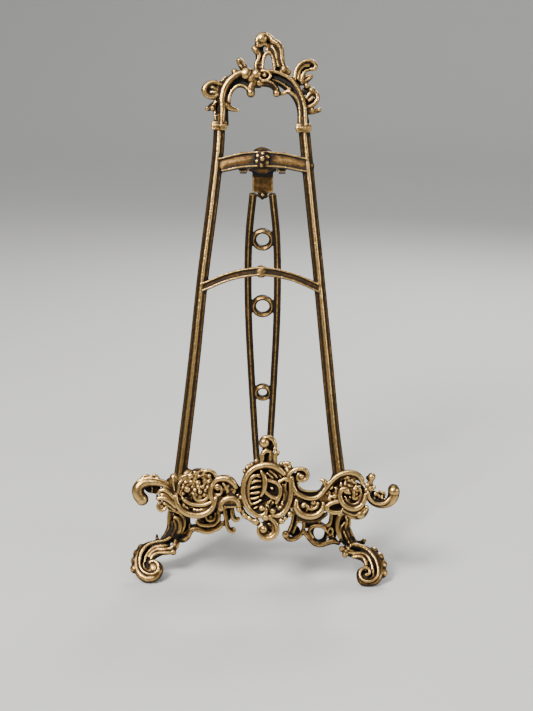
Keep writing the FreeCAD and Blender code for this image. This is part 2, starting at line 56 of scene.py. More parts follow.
# %% [markdown]
# ## Slopes to draw on
# The frame and the rail lean back, and the feet kick forward, so a scroll is easiest to draw
# on its own slope: u to the right, w up the slope and n out of its front. One could model flat
# and then rotate each object. Here a small class turns (u, w, n) in millimetres into a place,
# so that shapes on two slopes can be joined in one casting.
#
# All slopes are measured from the hinge, which the CAD model gives. HINGE_UP and HINGE_BEHIND
# lead from the pin to the start of the frame's slope, at the middle of its width. RAIL_AHEAD
# and FOOT_AHEAD lead forward from there, and FOOT_RISE is the feet's start above the table.
# CENTRE is where the hinge and the strut stand along u, a little left of the middle.
# %% Slopes of the castings
MM = 0.001
LEAN = math.radians(15)
FOOT_LEAN = math.radians(45)
HINGE_UP = 128.0
HINGE_BEHIND = 9.5
CENTRE = -3.2
RAIL_AHEAD = 26.2
FOOT_AHEAD = 22.7
FOOT_RISE = 0.6
FRAME_THICK = 5.0
RAIL_THICK = 4.0
FOOT_HALF = 2.2


class Slope:
    """A leaning plane with u along X, w up the slope and n out of the front, in mm."""

    def __init__(self, x, y, z, lean):
        self.start = np.array([x, y, z])
        self.up = np.array([0, math.sin(lean), math.cos(lean)])
        self.out = np.array([0, -math.cos(lean), math.sin(lean)])

    def place(self, points):
        points = np.asarray(points, dtype=float)
        across = np.outer(points[:, 0], [1.0, 0, 0])
        return self.start + across + np.outer(points[:, 1], self.up) + np.outer(points[:, 2], self.out)


hinge_mm = np.array(hinge) / MM
middle_x = hinge_mm[0] - CENTRE
flat = Slope(0, 0, 0, LEAN)
frame_start = hinge_mm - HINGE_UP * flat.up + HINGE_BEHIND * flat.out
on_frame = Slope(middle_x, frame_start[1], frame_start[2], LEAN)
on_rail = Slope(middle_x, frame_start[1] - RAIL_AHEAD, frame_start[2], LEAN)
on_foot = Slope(middle_x, frame_start[1] - FOOT_AHEAD, FOOT_RISE, FOOT_LEAN)
print("frame slope starts at", frame_start.round(2))

# %% [markdown]
# ## Smooth paths
# A scroll is drawn by a few places that its middle passes through, each with its half width
# there. Bezier handles would triple the numbers. A Catmull-Rom curve passes through the places
# themselves, and its knots are spaced by distance, so that it never loops at a tight bend.
# %% Smooth paths
def smooth(points, step=0.5):
    """Samples of a Catmull-Rom curve through rows of (u, w, half width), evenly stepped."""
    rows = np.asarray(points, dtype=float)
    if len(rows) == 2:
        rows = np.vstack([rows[0], rows.mean(axis=0), rows[1]])
    ends = np.vstack([2 * rows[0] - rows[1], rows, 2 * rows[-1] - rows[-2]])
    gaps = np.maximum(np.linalg.norm(np.diff(ends[:, :2], axis=0), axis=1), 1e-6) ** 0.5
    knots = np.concatenate([[0], np.cumsum(gaps)])
    samples = []
    for i in range(1, len(ends) - 2):
        t0, t1, t2, t3 = knots[i - 1:i + 3]
        p0, p1, p2, p3 = ends[i - 1:i + 3]
        length = np.linalg.norm(p2[:2] - p1[:2])
        count = max(2, int(math.ceil(length / step)))
        t = np.linspace(t1, t2, count, endpoint=False)[:, None]
        a1 = (t1 - t) / (t1 - t0) * p0 + (t - t0) / (t1 - t0) * p1
        a2 = (t2 - t) / (t2 - t1) * p1 + (t - t1) / (t2 - t1) * p2
        a3 = (t3 - t) / (t3 - t2) * p2 + (t - t2) / (t3 - t2) * p3
        b1 = (t2 - t) / (t2 - t0) * a1 + (t - t0) / (t2 - t0) * a2
        b2 = (t3 - t) / (t3 - t1) * a2 + (t - t1) / (t3 - t1) * a3
        samples.append((t2 - t) / (t2 - t1) * b1 + (t - t1) / (t2 - t1) * b2)
    return np.vstack(samples + [rows[-1:]])


def sideways(path):
    """Unit vectors square to the path, to its left, as (u, w)."""
    along = np.gradient(path[:, :2], axis=0)
    along /= np.maximum(np.linalg.norm(along, axis=1, keepdims=True), 1e-9)
    return np.column_stack([-along[:, 1], along[:, 0]])


def circle(u, w, radius, half, tall=None, count=28):
    """Rows of a closed circle, or of an oval if tall, its other radius, is given."""
    tall = radius if tall is None else tall
    angles = np.radians(np.linspace(0, 360, count))
    return [(u + radius * math.cos(a), w + tall * math.sin(a), half) for a in angles]


print("samples in one small bend:", len(smooth([(0, 0, 1), (4, 3, 1), (9, 3, 1)])))

# %% [markdown]
# ## Wax
# Scrollwork like this is modelled in wax: rolls, ribs, balls and leaves are laid over each
# other and melted together. One could sculpt by hand or bevel curves, but a curve bevel has
# one section all along. The wax below sweeps a section whose width changes along its path, and
# collects every shape of a casting in one list of closed surfaces, which later melt into one.
# %% Wax that sweeps and balls are added to
class Wax:
    """All the shapes of one casting, as closed surfaces that overlap."""

    def __init__(self, slope):
        self.slope = slope
        self.verts = []
        self.faces = []
        self.count = 0

    def add(self, points, faces):
        self.verts.append(self.slope.place(points))
        self.faces.extend([tuple(i + self.count for i in face) for face in faces])
        self.count += len(points)

    def sweep(self, path, top, bottom, boxy=2.0, sides=12):
        """Sweeps a rounded section along path, from height bottom to height top."""
        path = np.asarray(path, dtype=float)
        count = len(path)
        top = np.broadcast_to(top, count)
        bottom = np.broadcast_to(bottom, count)
        half = np.maximum(path[:, 2], 0.05)
        angles = np.linspace(0, 2 * math.pi, sides, endpoint=False)
        power = 2.0 / boxy
        wide = np.sign(np.cos(angles)) * np.abs(np.cos(angles)) ** power
        high = np.sign(np.sin(angles)) * np.abs(np.sin(angles)) ** power
        side = sideways(path)
        middle = (top + bottom) / 2
        rise = (top - bottom) / 2
        rings = np.empty((count, sides, 3))
        rings[:, :, 0] = path[:, 0:1] + side[:, 0:1] * half[:, None] * wide
        rings[:, :, 1] = path[:, 1:2] + side[:, 1:2] * half[:, None] * wide
        rings[:, :, 2] = middle[:, None] + rise[:, None] * high
        points = rings.reshape(-1, 3)
        faces = [tuple(range(sides - 1, -1, -1)), tuple(range((count - 1) * sides, count * sides))]
        for i in range(count - 1):
            for k in range(sides):
                after = (k + 1) % sides
                faces.append((i * sides + k, i * sides + after, (i + 1) * sides + after, (i + 1) * sides + k))
        self.add(points, faces)

    def ball(self, u, w, radius, n=0.0, rise=None, rings=8, sides=14):
        """A ball, or a flattened one if its rise out of the front is given."""
        rise = radius if rise is None else rise
        points = [(u, w, n + rise)]
        for i in range(1, rings):
            tilt = math.pi * i / rings
            for k in range(sides):
                turn = 2 * math.pi * k / sides
                reach = radius * math.sin(tilt)
                points.append((u + reach * math.cos(turn), w + reach * math.sin(turn),
                               n + rise * math.cos(tilt)))
        points.append((u, w, n - rise))
        last = len(points) - 1
        faces = []
        for k in range(sides):
            after = (k + 1) % sides
            faces.append((0, 1 + k, 1 + after))
            faces.append((last, last - sides + after, last - sides + k))
            for i in range(rings - 2):
                low = 1 + i * sides
                faces.append((low + k, low + sides + k, low + sides + after, low + after))
        self.add(points, faces)


def drawn(wax, *parts):
    """Draws the parts in turn and tells how much wax they bring it to."""
    for part in parts:
        part(wax)
        print(part.__name__, "brings the wax to", wax.count, "points")


# %% [markdown]
# ## Motifs of the scrollwork
# The whole stand is made of a few motifs, and each is one function that lays simple shapes.
# The plainest are round: a roll, a thin line, beads and studs. Under them lie sunk grounds and
# floors, which keep pierced work in one piece.
# %% Rolls, lines, beads and grounds
LINE_FULL = 1.22
LINE_END = 0.8


def roll(wax, *points, n=0.0, deep=1.0):
    """A round roll through rows of (u, w, half width), as deep as it is wide times deep."""
    path = smooth(points)
    wax.sweep(path, n + path[:, 2] * deep, n - path[:, 2] * deep)
    for end in (path[0], path[-1]):
        wax.ball(end[0], end[1], end[2], n, end[2] * deep)


def line(wax, half, n, *places):
    """A thin roll of even width through (u, w) places, a little finer at its ends."""
    full = half * LINE_FULL
    rows = [(u, w, full) for u, w in places]
    rows[0] = (*places[0], full * LINE_END)
    rows[-1] = (*places[-1], full * LINE_END)
    roll(wax, *rows, n=n, deep=1.05)


def beads(wax, *rows, n=0.0):
    """Round beads that stand well out of the ground."""
    for u, w, radius in rows:
        wax.ball(u, w, radius * 1.18, n - 0.3 * radius)


def studs(wax, n, rise, *rows):
    """Low round knobs, all of one height."""
    for u, w, radius in rows:
        wax.ball(u, w, radius, n, rise)


def ground(wax, top, *rows, bottom=-3.8):
    """A flat sunk strip that carries the finer strokes laid over it."""
    wax.sweep(smooth(rows), top, bottom, boxy=3.0, sides=14)


def floor(wax, *rows, top=-2.2, bottom=-3.8):
    """Thin sunk grounds behind the open relief."""
    for u, w, radius in rows:
        wax.ball(u, w, radius, (top + bottom) / 2, (top - bottom) / 2, rings=10, sides=28)


trial = Wax(on_frame)
roll(trial, (0, 0, 1), (4, 3, 1), (9, 3, 1))
print("points in one small roll:", trial.count)

# %% [markdown]
# A bar has a sunk middle between raised rims, as moulded frames do, and a leaf has ribs that
# run together at its tip. Both are a broad sweep with thin sweeps laid along its sides.
# %% Bars and leaves
def band(wax, *points, thick=4.0, top=0.0, rims=(-1, 1), rim=0.42, hollow=0.5):
    """A flat bar with a raised rim along the sides named in rims."""
    path = smooth(points)
    wax.sweep(path, top - hollow, top - thick, boxy=3.2, sides=16)
    for end in (path[0], path[-1]):
        wax.ball(end[0], end[1], end[2], top - hollow - (thick - hollow) / 2, (thick - hollow) / 2)
    side = sideways(path)
    for which in rims:
        edge = path.copy()
        inset = np.maximum(path[:, 2] - rim, 0)
        edge[:, :2] += side * (inset * which)[:, None]
        edge[:, 2] = np.minimum(rim, path[:, 2])
        wax.sweep(edge, top + 0.15, top - 3 * rim)


def leaf(wax, *points, thick=2.4, top=0.0, ribs=(-0.62, 0, 0.62), rib=0.34):
    """A leaf with ribs that run together at its tip."""
    path = smooth(points)
    wax.sweep(path, top - 0.35, top - thick, boxy=2.4, sides=14)
    side = sideways(path)
    for share in ribs:
        vein = path.copy()
        vein[:, :2] += side * (path[:, 2] * share)[:, None]
        vein[:, 2] = np.minimum(rib, path[:, 2] * 0.5 + 0.1)
        arch = 0.35 * (1 - share * share)
        wax.sweep(vein, top + arch, top - 1.2)


trial = Wax(on_frame)
leaf(trial, (0, 0, 1), (4, 3, 1), (9, 3, 1))
print("points in one small leaf:", trial.count)

# %% [markdown]
# Flowers are a ring of petals round a ball. The finest leafwork, too small to draw leaf by leaf,
# is strewn: a seeded random draw lays small leaves along a swirl, the same ones on each run.
# %% Flowers and strewn leaves
def flower(wax, u, w, radius, petals, n=0.0):
    """A ring of petals round a ball, on a low round ground."""
    wax.ball(u, w, radius * 0.36, n + 0.35 * radius)
    for k in range(petals):
        turn = 2 * math.pi * k / petals + 0.4
        reach = radius * 0.62
        wax.ball(u + reach * math.cos(turn), w + reach * math.sin(turn), radius * 0.38, n - 0.1, radius * 0.3)
    wax.ball(u, w, radius * 0.8, n - 1.2, 1.2)


def foliage(wax, seed, count, u, w, reach, size=0.75, n=-1.6):
    """Small leaves strewn over a round ground, lying along a swirl round its middle."""
    chance = np.random.default_rng(seed)
    for _ in range(count):
        turn = chance.uniform(0, 2 * math.pi)
        out = reach * math.sqrt(chance.uniform(0, 1))
        at_u, at_w = u + out * math.cos(turn), w + out * math.sin(turn)
        along = turn + chance.uniform(0.7, 2.2)
        long = size * chance.uniform(1.2, 2.2)
        du, dw = long * math.cos(along) / 2, long * math.sin(along) / 2
        bend = chance.uniform(-0.4, 0.4) * long
        half = size * chance.uniform(0.55, 0.9)
        rise = n + chance.uniform(-0.2, 0.5)
        roll(wax, (at_u - du, at_w - dw, half * 0.6), (at_u - dw * bend, at_w + du * bend, half),
             (at_u + du, at_w + dw, half * 0.35), n=rise)


trial = Wax(on_frame)
foliage(trial, 1, 12, 0, 0, 3)
print("points in twelve strewn leaves:", trial.count)

# %% [markdown]
# ## Front rail
# The rail is drawn from its left end to its right end. Every row is (u, w, half width) on the
# rail's slope. It starts with a hooked arm that ends in a ball, with two small loops on its
# back and leaf-like strokes under it.
# %% Left end of the rail
def rail_left(wax):
    roll(wax, (-49.5, -6, 2.6), (-51, -4, 2.6), (-51.2, -1.8, 2.5), (-49.9, 0, 2.2), (-47, 0.8, 1.7),
         (-43.6, 0.8, 1.5), (-40.6, 0, 1.4), (-38.6, -1.4, 1.1), n=-1.4)
    wax.ball(-49.6, -6, 2.65, -1.3, 2.4)
    line(wax, 0.5, -0.7, (-52.8, -0.8), (-51.2, 1.3), (-48.8, 2.3), (-45.4, 2.4), (-42, 1.9), (-39.6, 1),
         (-37.6, -0.6), (-36.4, -2.6))
    line(wax, 0.45, -0.9, (-50, 2.1), (-49, 3.4), (-47.6, 3.7), (-46.4, 3), (-46.1, 2.3))
    line(wax, 0.45, -0.9, (-46.3, 2.8), (-45.2, 3.8), (-43.9, 3.6), (-43, 2.5), (-42.8, 1.8))
    floor(wax, (-46.6, -1.2, 2.6), (-44.4, -2, 2.2), top=-2.6)
    leaf(wax, (-46.2, -0.4, 0.5), (-45.6, -2, 0.9), (-45.9, -3.8, 0.4), top=-1.8, thick=1.8, ribs=(0,))
    ground(wax, -1.8, (-42.8, -3.9, 1.2), (-40.6, -4, 2.0), (-38, -5.4, 2.5), (-36, -7.4, 2.3))
    roll(wax, (-43.4, -3.6, 0.6), (-42.4, -2.5, 0.8), (-40.8, -2.1, 0.9), (-38.9, -2.9, 0.9),
         (-37.4, -4.4, 0.8), (-36, -6.2, 0.7), n=-0.5)
    line(wax, 0.45, -0.8, (-41.9, -3.9), (-40.4, -3.8), (-38.8, -4.5), (-37.2, -6))
    roll(wax, (-43.4, -5.6, 0.8), (-41.8, -5.3, 1.0), (-39.8, -5.7, 1.05), (-37.8, -6.9, 1.0),
         (-36, -8.6, 0.9), n=-0.6)
    line(wax, 0.4, -1.2, (-43.4, -3.4), (-43.6, -4.8), (-43.1, -6.2))
    wax.ball(-42.2, -9.1, 1.5, -2.0, 1.3)
    roll(wax, (-42.3, -7, 0.7), (-43.2, -8.6, 0.8), (-42.6, -10.1, 0.85), (-41, -10.3, 0.8),
         (-39.8, -9.2, 0.7), n=-1.4)
    roll(wax, (-40.6, -7.6, 0.8), (-38.6, -8.4, 0.9), (-36.4, -10, 0.8), n=-1.5)
    ground(wax, -2.4, (-41.6, -8.2, 1.6), (-39.2, -8.2, 1.9), (-36.8, -9.4, 1.8))
    wax.ball(-38.7, 1.2, 1.5, -2.6, 1.2)
    roll(wax, (-36.2, -3.4, 0.8), (-36.8, -0.8, 1.3), (-37.1, 1.4, 1.9), (-36.9, 2.9, 1.8), n=-0.9, deep=0.75)
    line(wax, 0.35, 0.5, (-36.4, -2), (-36.9, 0.4), (-37.1, 2.6))


rail_wax = Wax(on_rail)
drawn(rail_wax, rail_left)

# %% [markdown]
# A round basket of flowers comes next: a strong rim carries it from below, and strewn leaves
# fill it between one flower, its buds and a curl at the upper right.
# %% Flower basket
def rail_basket(wax):
    floor(wax, (-27.8, -4.2, 8), (-27.2, 1.6, 5.2))
    foliage(wax, 3, 60, -27.6, 1.0, 5.8, size=0.95, n=-1.1)
    foliage(wax, 4, 22, -30.4, -3.2, 3.6, size=0.85, n=-1.2)
    roll(wax, (-36, -4.6, 1.0), (-35.2, -7.8, 1.2), (-32.9, -10.5, 1.35), (-29.6, -11.8, 1.4),
         (-26, -11.9, 1.35), (-22.8, -10.5, 1.25), (-20.9, -8.2, 1.15), (-20, -5.2, 1.0), n=-0.5)
    line(wax, 0.75, -0.2, (-33.2, -5.3), (-31.8, -6.4), (-29.7, -7.5), (-26.8, -7.9), (-24.3, -7.7),
         (-22, -6.7))
    roll(wax, (-33.2, -7, 0.4), (-32.3, -8.5, 0.75), (-30.9, -9.7, 0.4), n=-0.8)
    roll(wax, (-28.8, -9.9, 0.4), (-26.4, -10, 0.7), (-24.2, -9.3, 0.7), (-22.6, -8, 0.4), n=-0.8)
    line(wax, 0.35, -1.3, (-30.6, -8.9), (-28, -9.2), (-25, -8.9), (-22.8, -7.9))
    line(wax, 0.6, -0.8, (-35.6, -4.4), (-35, -1.8), (-34.6, 0.6), (-33.2, 2.2))
    line(wax, 0.45, -0.8, (-33.5, -1.9), (-34.1, -3.6), (-33.2, -5))
    line(wax, 0.6, -0.5, (-28.9, -3.6), (-28.2, -5.4), (-26.8, -6.2), (-24.9, -6.1), (-23.4, -5.1),
         (-23, -3.5))
    wax.ball(-31.4, -1.7, 1.6, -0.7)
    wax.ball(-26.2, -2.6, 1.05, 0.0)
    for k in range(7):
        turn = 2 * math.pi * k / 7 + 0.2
        wax.ball(-26.2 + 2.1 * math.cos(turn), -2.6 + 2.0 * math.sin(turn), 1.05, -1.0, 1.0)
    studs(wax, -1.1, 1.0, (-27.2, 0.8, 1.3), (-24.3, 1.6, 1.3), (-29.8, 1.1, 1.1), (-23.3, -1, 1.0),
          (-30.4, 3.6, 1.2), (-27.8, 4.6, 1.2), (-32.5, 2.4, 1.1))
    line(wax, 0.6, -0.4, (-25.3, 4.2), (-24.5, 5.6), (-22.7, 6), (-20.9, 5.2), (-19.9, 3.6), (-19.2, 2.6))
    line(wax, 0.4, -0.8, (-24.5, 4.4), (-24.6, 3), (-23.4, 1.9), (-21.8, 2.3))
    wax.ball(-22.7, 3.7, 0.95, -0.7)
    floor(wax, (-22.3, 3.6, 2.2), top=-1.9, bottom=-3.4)


drawn(rail_wax, rail_basket)

# %% [markdown]
# A C-scroll leans on the basket, and a small arch with a ball at each end joins it to the
# medallion. Strewn leaves fill the field between them.
# %% C-scroll and arch beside the medallion
def rail_scrolls(wax):
    floor(wax, (-17.4, -1.6, 3.9), (-13.6, -1.8, 3.4), (-11.2, -3.4, 2))
    foliage(wax, 5, 24, -13.4, -2.2, 3.0, size=0.9, n=-1.3)
    roll(wax, (-20.8, 1.2, 1.0), (-19.2, 2.5, 1.25), (-17, 2.9, 1.45), (-14.8, 2.5, 1.55), (-13, 1.2, 1.4),
         (-11.9, -0.6, 1.0), n=-0.5)
    roll(wax, (-20.4, 1.6, 0.9), (-21.7, -0.6, 1.0), (-22.1, -3, 1.05), (-21.6, -5.2, 1.0),
         (-20.4, -7.4, 0.9), n=-0.4)
    line(wax, 0.4, -0.8, (-20.9, -1.8), (-20.8, -3.8), (-19.9, -5.4), (-18.8, -6.4))
    line(wax, 0.5, -0.4, (-20.3, -0.9), (-19.2, 0.1), (-18, -0.8), (-17.7, -2.6), (-18.7, -3.9),
         (-19.8, -3.4))
    wax.ball(-19.3, -1.2, 0.95, -0.5)
    roll(wax, (-17, 0.7, 0.6), (-15.9, -0.6, 0.8), (-15.2, -2.4, 0.6), n=-0.8)
    roll(wax, (-18.1, -9.2, 1.1), (-17.9, -7.5, 1.2), (-16.7, -5.9, 1.25), (-15, -5.1, 1.3),
         (-12.9, -5.2, 1.25), (-11.2, -6.4, 1.2), (-10.4, -8.4, 0.95), n=-0.4)
    line(wax, 0.4, -1.0, (-19.5, -8.6), (-19.2, -6.4), (-17.8, -4.6))
    beads(wax, (-17.9, -9, 1.3), (-10.6, -9.4, 1.15), (-9.9, -4.6, 0.9), n=-0.3)


drawn(rail_wax, rail_scrolls)

# %% [markdown]
# The medallion is a sunk round field. Two C-shaped rims close round it, each ending in a small
# volute below, and a looped strap, a ribbed leaf and two grounds of leaves lie on the field.
# %% Medallion
def rail_medallion(wax):
    u, w = 0.4, -1.6
    wax.ball(u, w, 10.0, -3.1, 0.9, rings=12, sides=40)
    wax.sweep(smooth(circle(u, w, 9.5, 1.1)), -1.5, -RAIL_THICK, boxy=3)
    roll(wax, (-1.2, -8.6, 0.8), (0.1, -9.3, 0.9), (-0.2, -11, 1.0), (-2.3, -11.9, 1.05), (-5, -10.7, 1.1),
         (-7.3, -8.1, 1.2), (-8.6, -4.9, 1.2), (-9, -1.3, 1.2), (-8.4, 2.4, 1.25), (-6.8, 5.3, 1.3),
         (-4.1, 7.4, 1.35), (-0.4, 8.4, 1.45), (2.8, 8.1, 1.5), (5.3, 6.8, 1.4), (7.2, 5, 1.0), n=-0.5)
    wax.ball(-1.5, -8.8, 1.35, -0.3)
    roll(wax, (9.2, 4.2, 0.8), (10.1, 1, 1.05), (10.1, -3, 1.15), (9.2, -7, 1.2), (7.5, -10.1, 1.2),
         (5, -11.8, 1.1), (3, -11.2, 1.0), (2.3, -9.6, 0.9), n=-0.5)
    wax.ball(2.9, -9.9, 1.35, -0.3)
    roll(wax, (-3, 4.4, 0.6), (-5.3, 3.7, 0.75), (-6.8, 1, 0.75), (-7.1, -2.2, 0.7), (-6.9, -5.2, 0.65),
         (-5.9, -7.6, 0.6), n=-0.8)
    for rib in (((-5, 3), (-3.8, 3.9), (-2.3, 3.5)), ((-6.2, 0.7), (-4, 1.9), (-1.9, 1.9)),
                ((-6.5, -1.4), (-4.2, -0.6), (-1.8, -0.3)), ((-6.6, -3.2), (-4.2, -2.9), (-1.8, -2.5)),
                ((-6.3, -5.3), (-4.2, -5), (-2.2, -4.2)), ((-5.6, -7.4), (-3.8, -6.9), (-1.8, -5.7)),
                ((-4.8, -9.2), (-3, -8.4), (-1, -7.2))):
        line(wax, 0.5, -1.1, *rib)
    roll(wax, (-1.8, 5.8, 0.7), (-0.7, 4, 1.0), (-0.3, 1.2, 1.15), (-0.7, -1.6, 1.0), (-1.9, -3.9, 0.6),
         n=-0.4)
    roll(wax, (-0.2, 2.6, 0.8), (2.2, 2, 0.8), (4.4, 1.2, 0.9), (5.7, -0.4, 0.95), (5.8, -2.8, 0.95),
         (5, -5, 0.95), (4.2, -6.6, 0.8), n=-0.5)
    roll(wax, (-0.4, -1.8, 0.8), (0.9, -3.2, 0.85), (2.8, -4.4, 0.9), (4.8, -5, 0.85), n=-0.5)
    roll(wax, (4.6, 1.2, 0.7), (6.4, 2.4, 0.7), (8.6, 3.4, 0.7), n=-0.6)
    wax.ball(2.5, -1.1, 0.9, -1.7)
    for path in (((8.3, 2), (7.9, -0.8), (8.4, -3.4), (7.8, -6)),
                 ((6.9, 0.6), (7.2, -2), (7.4, -4.4), (6.6, -6.8)), ((1.4, 6.2), (3.2, 4.9), (4.6, 3.2)),
                 ((0.6, 5), (1.9, 4), (2.8, 3.1)), ((3.4, 6.4), (5.2, 4.9), (6.2, 3.4))):
        line(wax, 0.42, -1.1, *path)
    foliage(wax, 31, 14, 1.6, -7.2, 2.0, size=0.75, n=-1.2)
    foliage(wax, 32, 12, 6, -8, 1.6, size=0.75, n=-1.2)


drawn(rail_wax, rail_medallion)

# %% [markdown]
# A hooded ball on a short post stands on the medallion, and a spiral with a bead in it hangs
# below. Beads and leaves hide where they join.
# %% Finial and pendant
def rail_finial(wax):
    ground(wax, -2.2, (0.4, 7.6, 2.5), (0.4, 10.6, 2.1), (0.5, 13, 2.2), (0.6, 15, 2.3))
    line(wax, 0.8, -0.6, (-1.8, 8.8), (-1.5, 11), (-1.4, 12.8), (0.1, 14.1), (1.6, 13.8))
    line(wax, 0.7, -0.9, (1.9, 9.2), (1.8, 11.2), (1.8, 13))
    wax.ball(-0.7, 17.3, 2.4, -1.2)
    wax.ball(1.3, 16.2, 2.8, -2.8, 1.2)
    roll(wax, (-2.3, 17.4, 0.7), (-1.3, 18.9, 0.95), (0.7, 19.4, 1.05), (2.5, 18.7, 1.0), (3.5, 16.9, 0.9),
         (3.7, 14.8, 0.7), n=-0.8)
    line(wax, 0.85, -0.7, (3.8, 9.6), (3.5, 12), (4, 13.4), (4.8, 13.5))
    wax.ball(4.5, 12.8, 0.85, -1.8)
    wax.ball(3.3, 15, 0.6, -0.3)
    studs(wax, -1.2, 1.0, (-8.6, 5.8, 0.9), (-7.4, 7.1, 1.0), (-5.6, 8.6, 1.0), (-3.8, 9.8, 1.2),
          (6.2, 8.8, 1.1), (7.8, 8.6, 1.3), (9.4, 7.8, 1.1))
    floor(wax, (-6.6, 6.6, 2.0), (7.6, 7.4, 2.4))
    foliage(wax, 10, 10, -6.2, 7.2, 1.6, size=0.7, n=-0.9)
    foliage(wax, 11, 14, 7.8, 7.8, 2.3, size=0.8, n=-0.9)


def rail_pendant(wax):
    floor(wax, (0.9, -17.4, 3.6), top=-2.6)
    roll(wax, (0.2, -12.2, 1.4), (2.6, -13.4, 1.0), (4.4, -15.6, 1.1), (4.5, -18.4, 1.15), (2.7, -20.6, 1.15),
         (-0.2, -21, 1.1), (-2.2, -19.4, 1.0), (-2.6, -17, 0.9), (-1.4, -15.4, 0.8), n=-0.9)
    line(wax, 0.45, -0.9, (3, -15.2), (3.2, -17.8), (1.8, -19.6), (-0.4, -19.5), (-1, -18.6))
    wax.ball(-0.7, -17.3, 1.8, -0.8)
    wax.ball(0.1, -12.6, 1.6, -0.8)
    wax.ball(2, -12.4, 1.3, -0.9)
    foliage(wax, 33, 10, 1.4, -17, 1.8, size=0.75, n=-1.4)
    roll(wax, (-9.8, -9.2, 1.1), (-8.6, -11.6, 1.3), (-6.2, -13.3, 1.1), (-3.4, -14.8, 1.2), n=-1.6)
    studs(wax, -1.2, 1.2, (-8.4, -12, 1.3), (-6.4, -13, 1.1), (-3.8, -14.4, 1.5), (-9.2, -10.2, 1.1))
    line(wax, 0.7, -2.2, (9.6, -9.6), (8.4, -12.4), (5.4, -14.6), (3.2, -15.6))
    beads(wax, (9.8, -11.2, 1.2), (8, -12.9, 0.8), (6.4, -14, 1.2), (4.9, -13, 0.7), n=-0.9)


drawn(rail_wax, rail_finial, rail_pendant)

# %% [markdown]
# ## The rail's right side
# A swag and a crescent hang between the medallion and the big scroll. The swag leaves a
# see-through gap above it.
# %% Swag and crescent
def rail_swag(wax):
    roll(wax, (8.4, 2.4, 0.75), (9.4, 4.8, 0.8), (11.4, 6.6, 0.85), (13.7, 7.1, 0.9), (15.7, 6.6, 0.95),
         (16.7, 5, 0.9), (16.2, 3.1, 0.85), (14.5, 2.3, 0.75), (13, 2.7, 0.7), (12.6, 4.1, 0.65),
         (13.2, 5.1, 0.6), n=-0.4)
    line(wax, 0.45, -1.0, (7.6, 4.4), (9, 6), (11, 7.2))
    wax.ball(14.3, 4, 1.2, -0.6)
    floor(wax, (14.1, 4.5, 2.3), (10.4, 4.2, 1.6), top=-2.0, bottom=-3.4)
    ground(wax, -2.0, (11.2, 3, 1.0), (12.1, 0, 1.1), (14.2, -2.2, 1.2), (17.6, -3.2, 1.3),
           (20.4, -3.2, 1.0), (22.4, -1.6, 1.0), (23.6, 0.6, 0.9))
    roll(wax, (10.4, 3.4, 0.8), (10.8, 0.8, 0.9), (11.5, -1.1, 0.95), (12.8, -2.8, 1.0), (15.6, -4.3, 1.0),
         (18.1, -4.7, 1.0), (20.2, -4.3, 1.0), (22, -3, 1.0), (23.4, -1.3, 1.0), (24.4, 0.6, 0.9),
         (25.5, 2, 0.8), n=-0.3)
    line(wax, 0.4, -1.2, (12.6, 1.8), (13.3, -0.4), (15.1, -1.7), (18, -2), (20.6, -1.8))
    roll(wax, (23.8, -0.6, 0.8), (23.9, 1, 1.0), (22.9, 2.6, 0.95), (21.7, 2.8, 0.5), n=-0.4)
    floor(wax, (17.8, -8, 4.8), (11.4, -6.8, 2.2))
    foliage(wax, 9, 18, 18, -7.4, 3.2, size=0.7, n=-1.3)
    roll(wax, (12.3, -5.8, 1.0), (12.2, -8, 1.4), (13.2, -10, 1.45), (15, -11.3, 1.45), (17.6, -11.9, 1.45),
         (20, -11.5, 1.4), (21.8, -10.3, 1.3), (22.8, -8.6, 1.1), (23, -6.6, 0.8), n=-0.5)
    roll(wax, (14.5, -7.6, 0.6), (15.5, -6.9, 0.7), (16.6, -7.8, 0.7), (17.4, -8.8, 0.7), (19, -9, 0.7),
         (20.4, -8.2, 0.7), (21, -6.6, 0.6), n=-0.6)
    wax.ball(15, -7.8, 1.0, -0.7)
    wax.ball(19, -6.4, 1.2, -1.0)
    roll(wax, (12.6, -11, 0.9), (14.4, -13, 1.0), (18, -13.9, 1.05), (21.8, -13, 1.0), (24.2, -11.2, 0.9),
         n=-2.3)


drawn(rail_wax, rail_swag)

